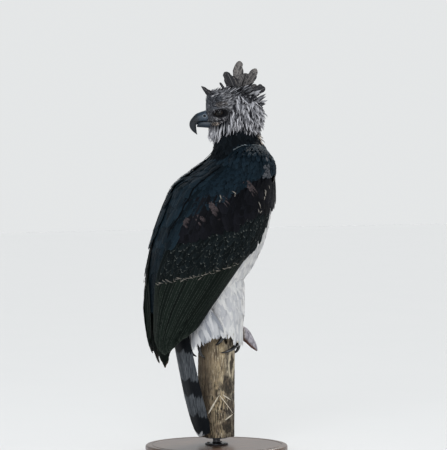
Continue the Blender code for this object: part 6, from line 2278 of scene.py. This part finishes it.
# Claws
# Great curved talons of black horn, keeled along their outer curve, glossy at the tip and duller
# at the root, where each leaves the toe's last scute.
CLAW_RADIUS = 0.0062
CLAWS = {
    "right": {
        1: (0.050, 12, 0.012),
        2: (0.036, 6, 0.010),
        3: (0.024, -49, 0.008),
        4: (0.024, -20, 0.007),
    },
    "left": {1: (0.050, -12, 0.012), 2: (0.036, -6, 0.010), 3: (0.034, 6, 0.010), 4: (0.030, 8, 0.008)},
}
talon_horn, tree, shader = new_finish("talon_horn", 0.24)
wear = clouded(tree, stretched(tree, (1, 1, 0.3)), 600.0, 4.0)
colour = blended(
    tree, ramped(tree, wear, 0.45, 0.75), (0.0065, 0.0065, 0.0080, 1), (0.030, 0.029, 0.031, 1)
)
painted(shader, colour)
shader.inputs["Coat Weight"].default_value = 0.4
shader.inputs["Coat Roughness"].default_value = 0.12
raised(tree, shader, wear, 0.0002, 0.3)
for name, side in SIDES.items():
    for digit, bearing, end in TOES[name]:
        drop, swing, reach = CLAWS[name][digit]
        start = toe_route(side, bearing, end)[-1][2]
        s = np.linspace(0, 1, 12)
        turn = np.radians(bearing + swing * s)
        ring = TOE_LINE + reach * np.sin(math.pi * np.minimum(s * 1.15, 1)) * 0.8 - 0.009 * s
        height = start + 0.0012 - drop * np.sin(s * math.pi / 2)
        path = np.stack((ring * np.cos(turn), ring * np.sin(turn), height), -1)
        radii = CLAW_RADIUS * (1 - s) ** 0.75 + 0.0004
        claw = tube(f"talon_{name}_{digit}", bent_tube(path, radii, 24, 60), 60)
        finished(claw, talon_horn, "horn", f"claw_{name}_{digit}")

# Floor and light
# A plain pale studio floor under an even pale backdrop that grows softer overhead, one large key
# from the right and behind, and a weak fill from the front.
FLOOR_HALF = 14.0
FLOOR_PALE = (0.680, 0.685, 0.690, 1)
FLOOR_LIGHT = (0.695, 0.697, 0.700, 1)
BACKDROP = (0.780, 0.795, 0.800, 1)
OVERHEAD = (0.400, 0.450, 0.500, 1)
floor_corners = [(x * FLOOR_HALF, y * FLOOR_HALF, 0) for x, y in ((-1, -1), (1, -1), (1, 1), (-1, 1))]
floor = mesh_piece("floor", floor_corners, [(0, 1, 2), (0, 2, 3)])
pale_floor, tree, shader = new_finish("pale_floor", 0.9, 0.0)
speckle = clouded(tree, stretched(tree, (1, 1, 1)), 3.0)
painted(shader, blended(tree, speckle, FLOOR_PALE, FLOOR_LIGHT))
floor.data.materials.append(pale_floor)


def lamp(name, kind, power, tint, direction, place=(0, 0, 0)):
    """A light that shines along a direction from a place."""
    data = bpy.data.lights.new(name, kind)
    data.energy = power
    data.color = tint
    made = bpy.data.objects.new(name, data)
    made.location = place
    made.rotation_euler = Vector(direction).to_track_quat("-Z", "Y").to_euler()
    bpy.context.scene.collection.objects.link(made)
    return data


key = lamp("key", "SUN", 2.7, (1.0, 0.96, 0.90), (-2.0, -0.9, -2.4))
key.angle = math.radians(9)
fill = lamp("fill", "AREA", 70, (0.94, 0.97, 1.0), (2.6, 3.2, -1.7), (-2.6, -3.2, 2.2))
fill.size = 2.2
world = bpy.data.worlds.new("studio")
world.use_nodes = True
tree = world.node_tree
direction = node(tree, "ShaderNodeTexCoord").outputs["Generated"]
height = axes_of(tree, direction)["Z"]
sky = blended(tree, ramped(tree, height, 0.10, 0.75), BACKDROP, OVERHEAD)
tree.links.new(sky, tree.nodes["Background"].inputs["Color"])
bpy.context.scene.world = world
bpy.context.scene.view_settings.view_transform = "Standard"
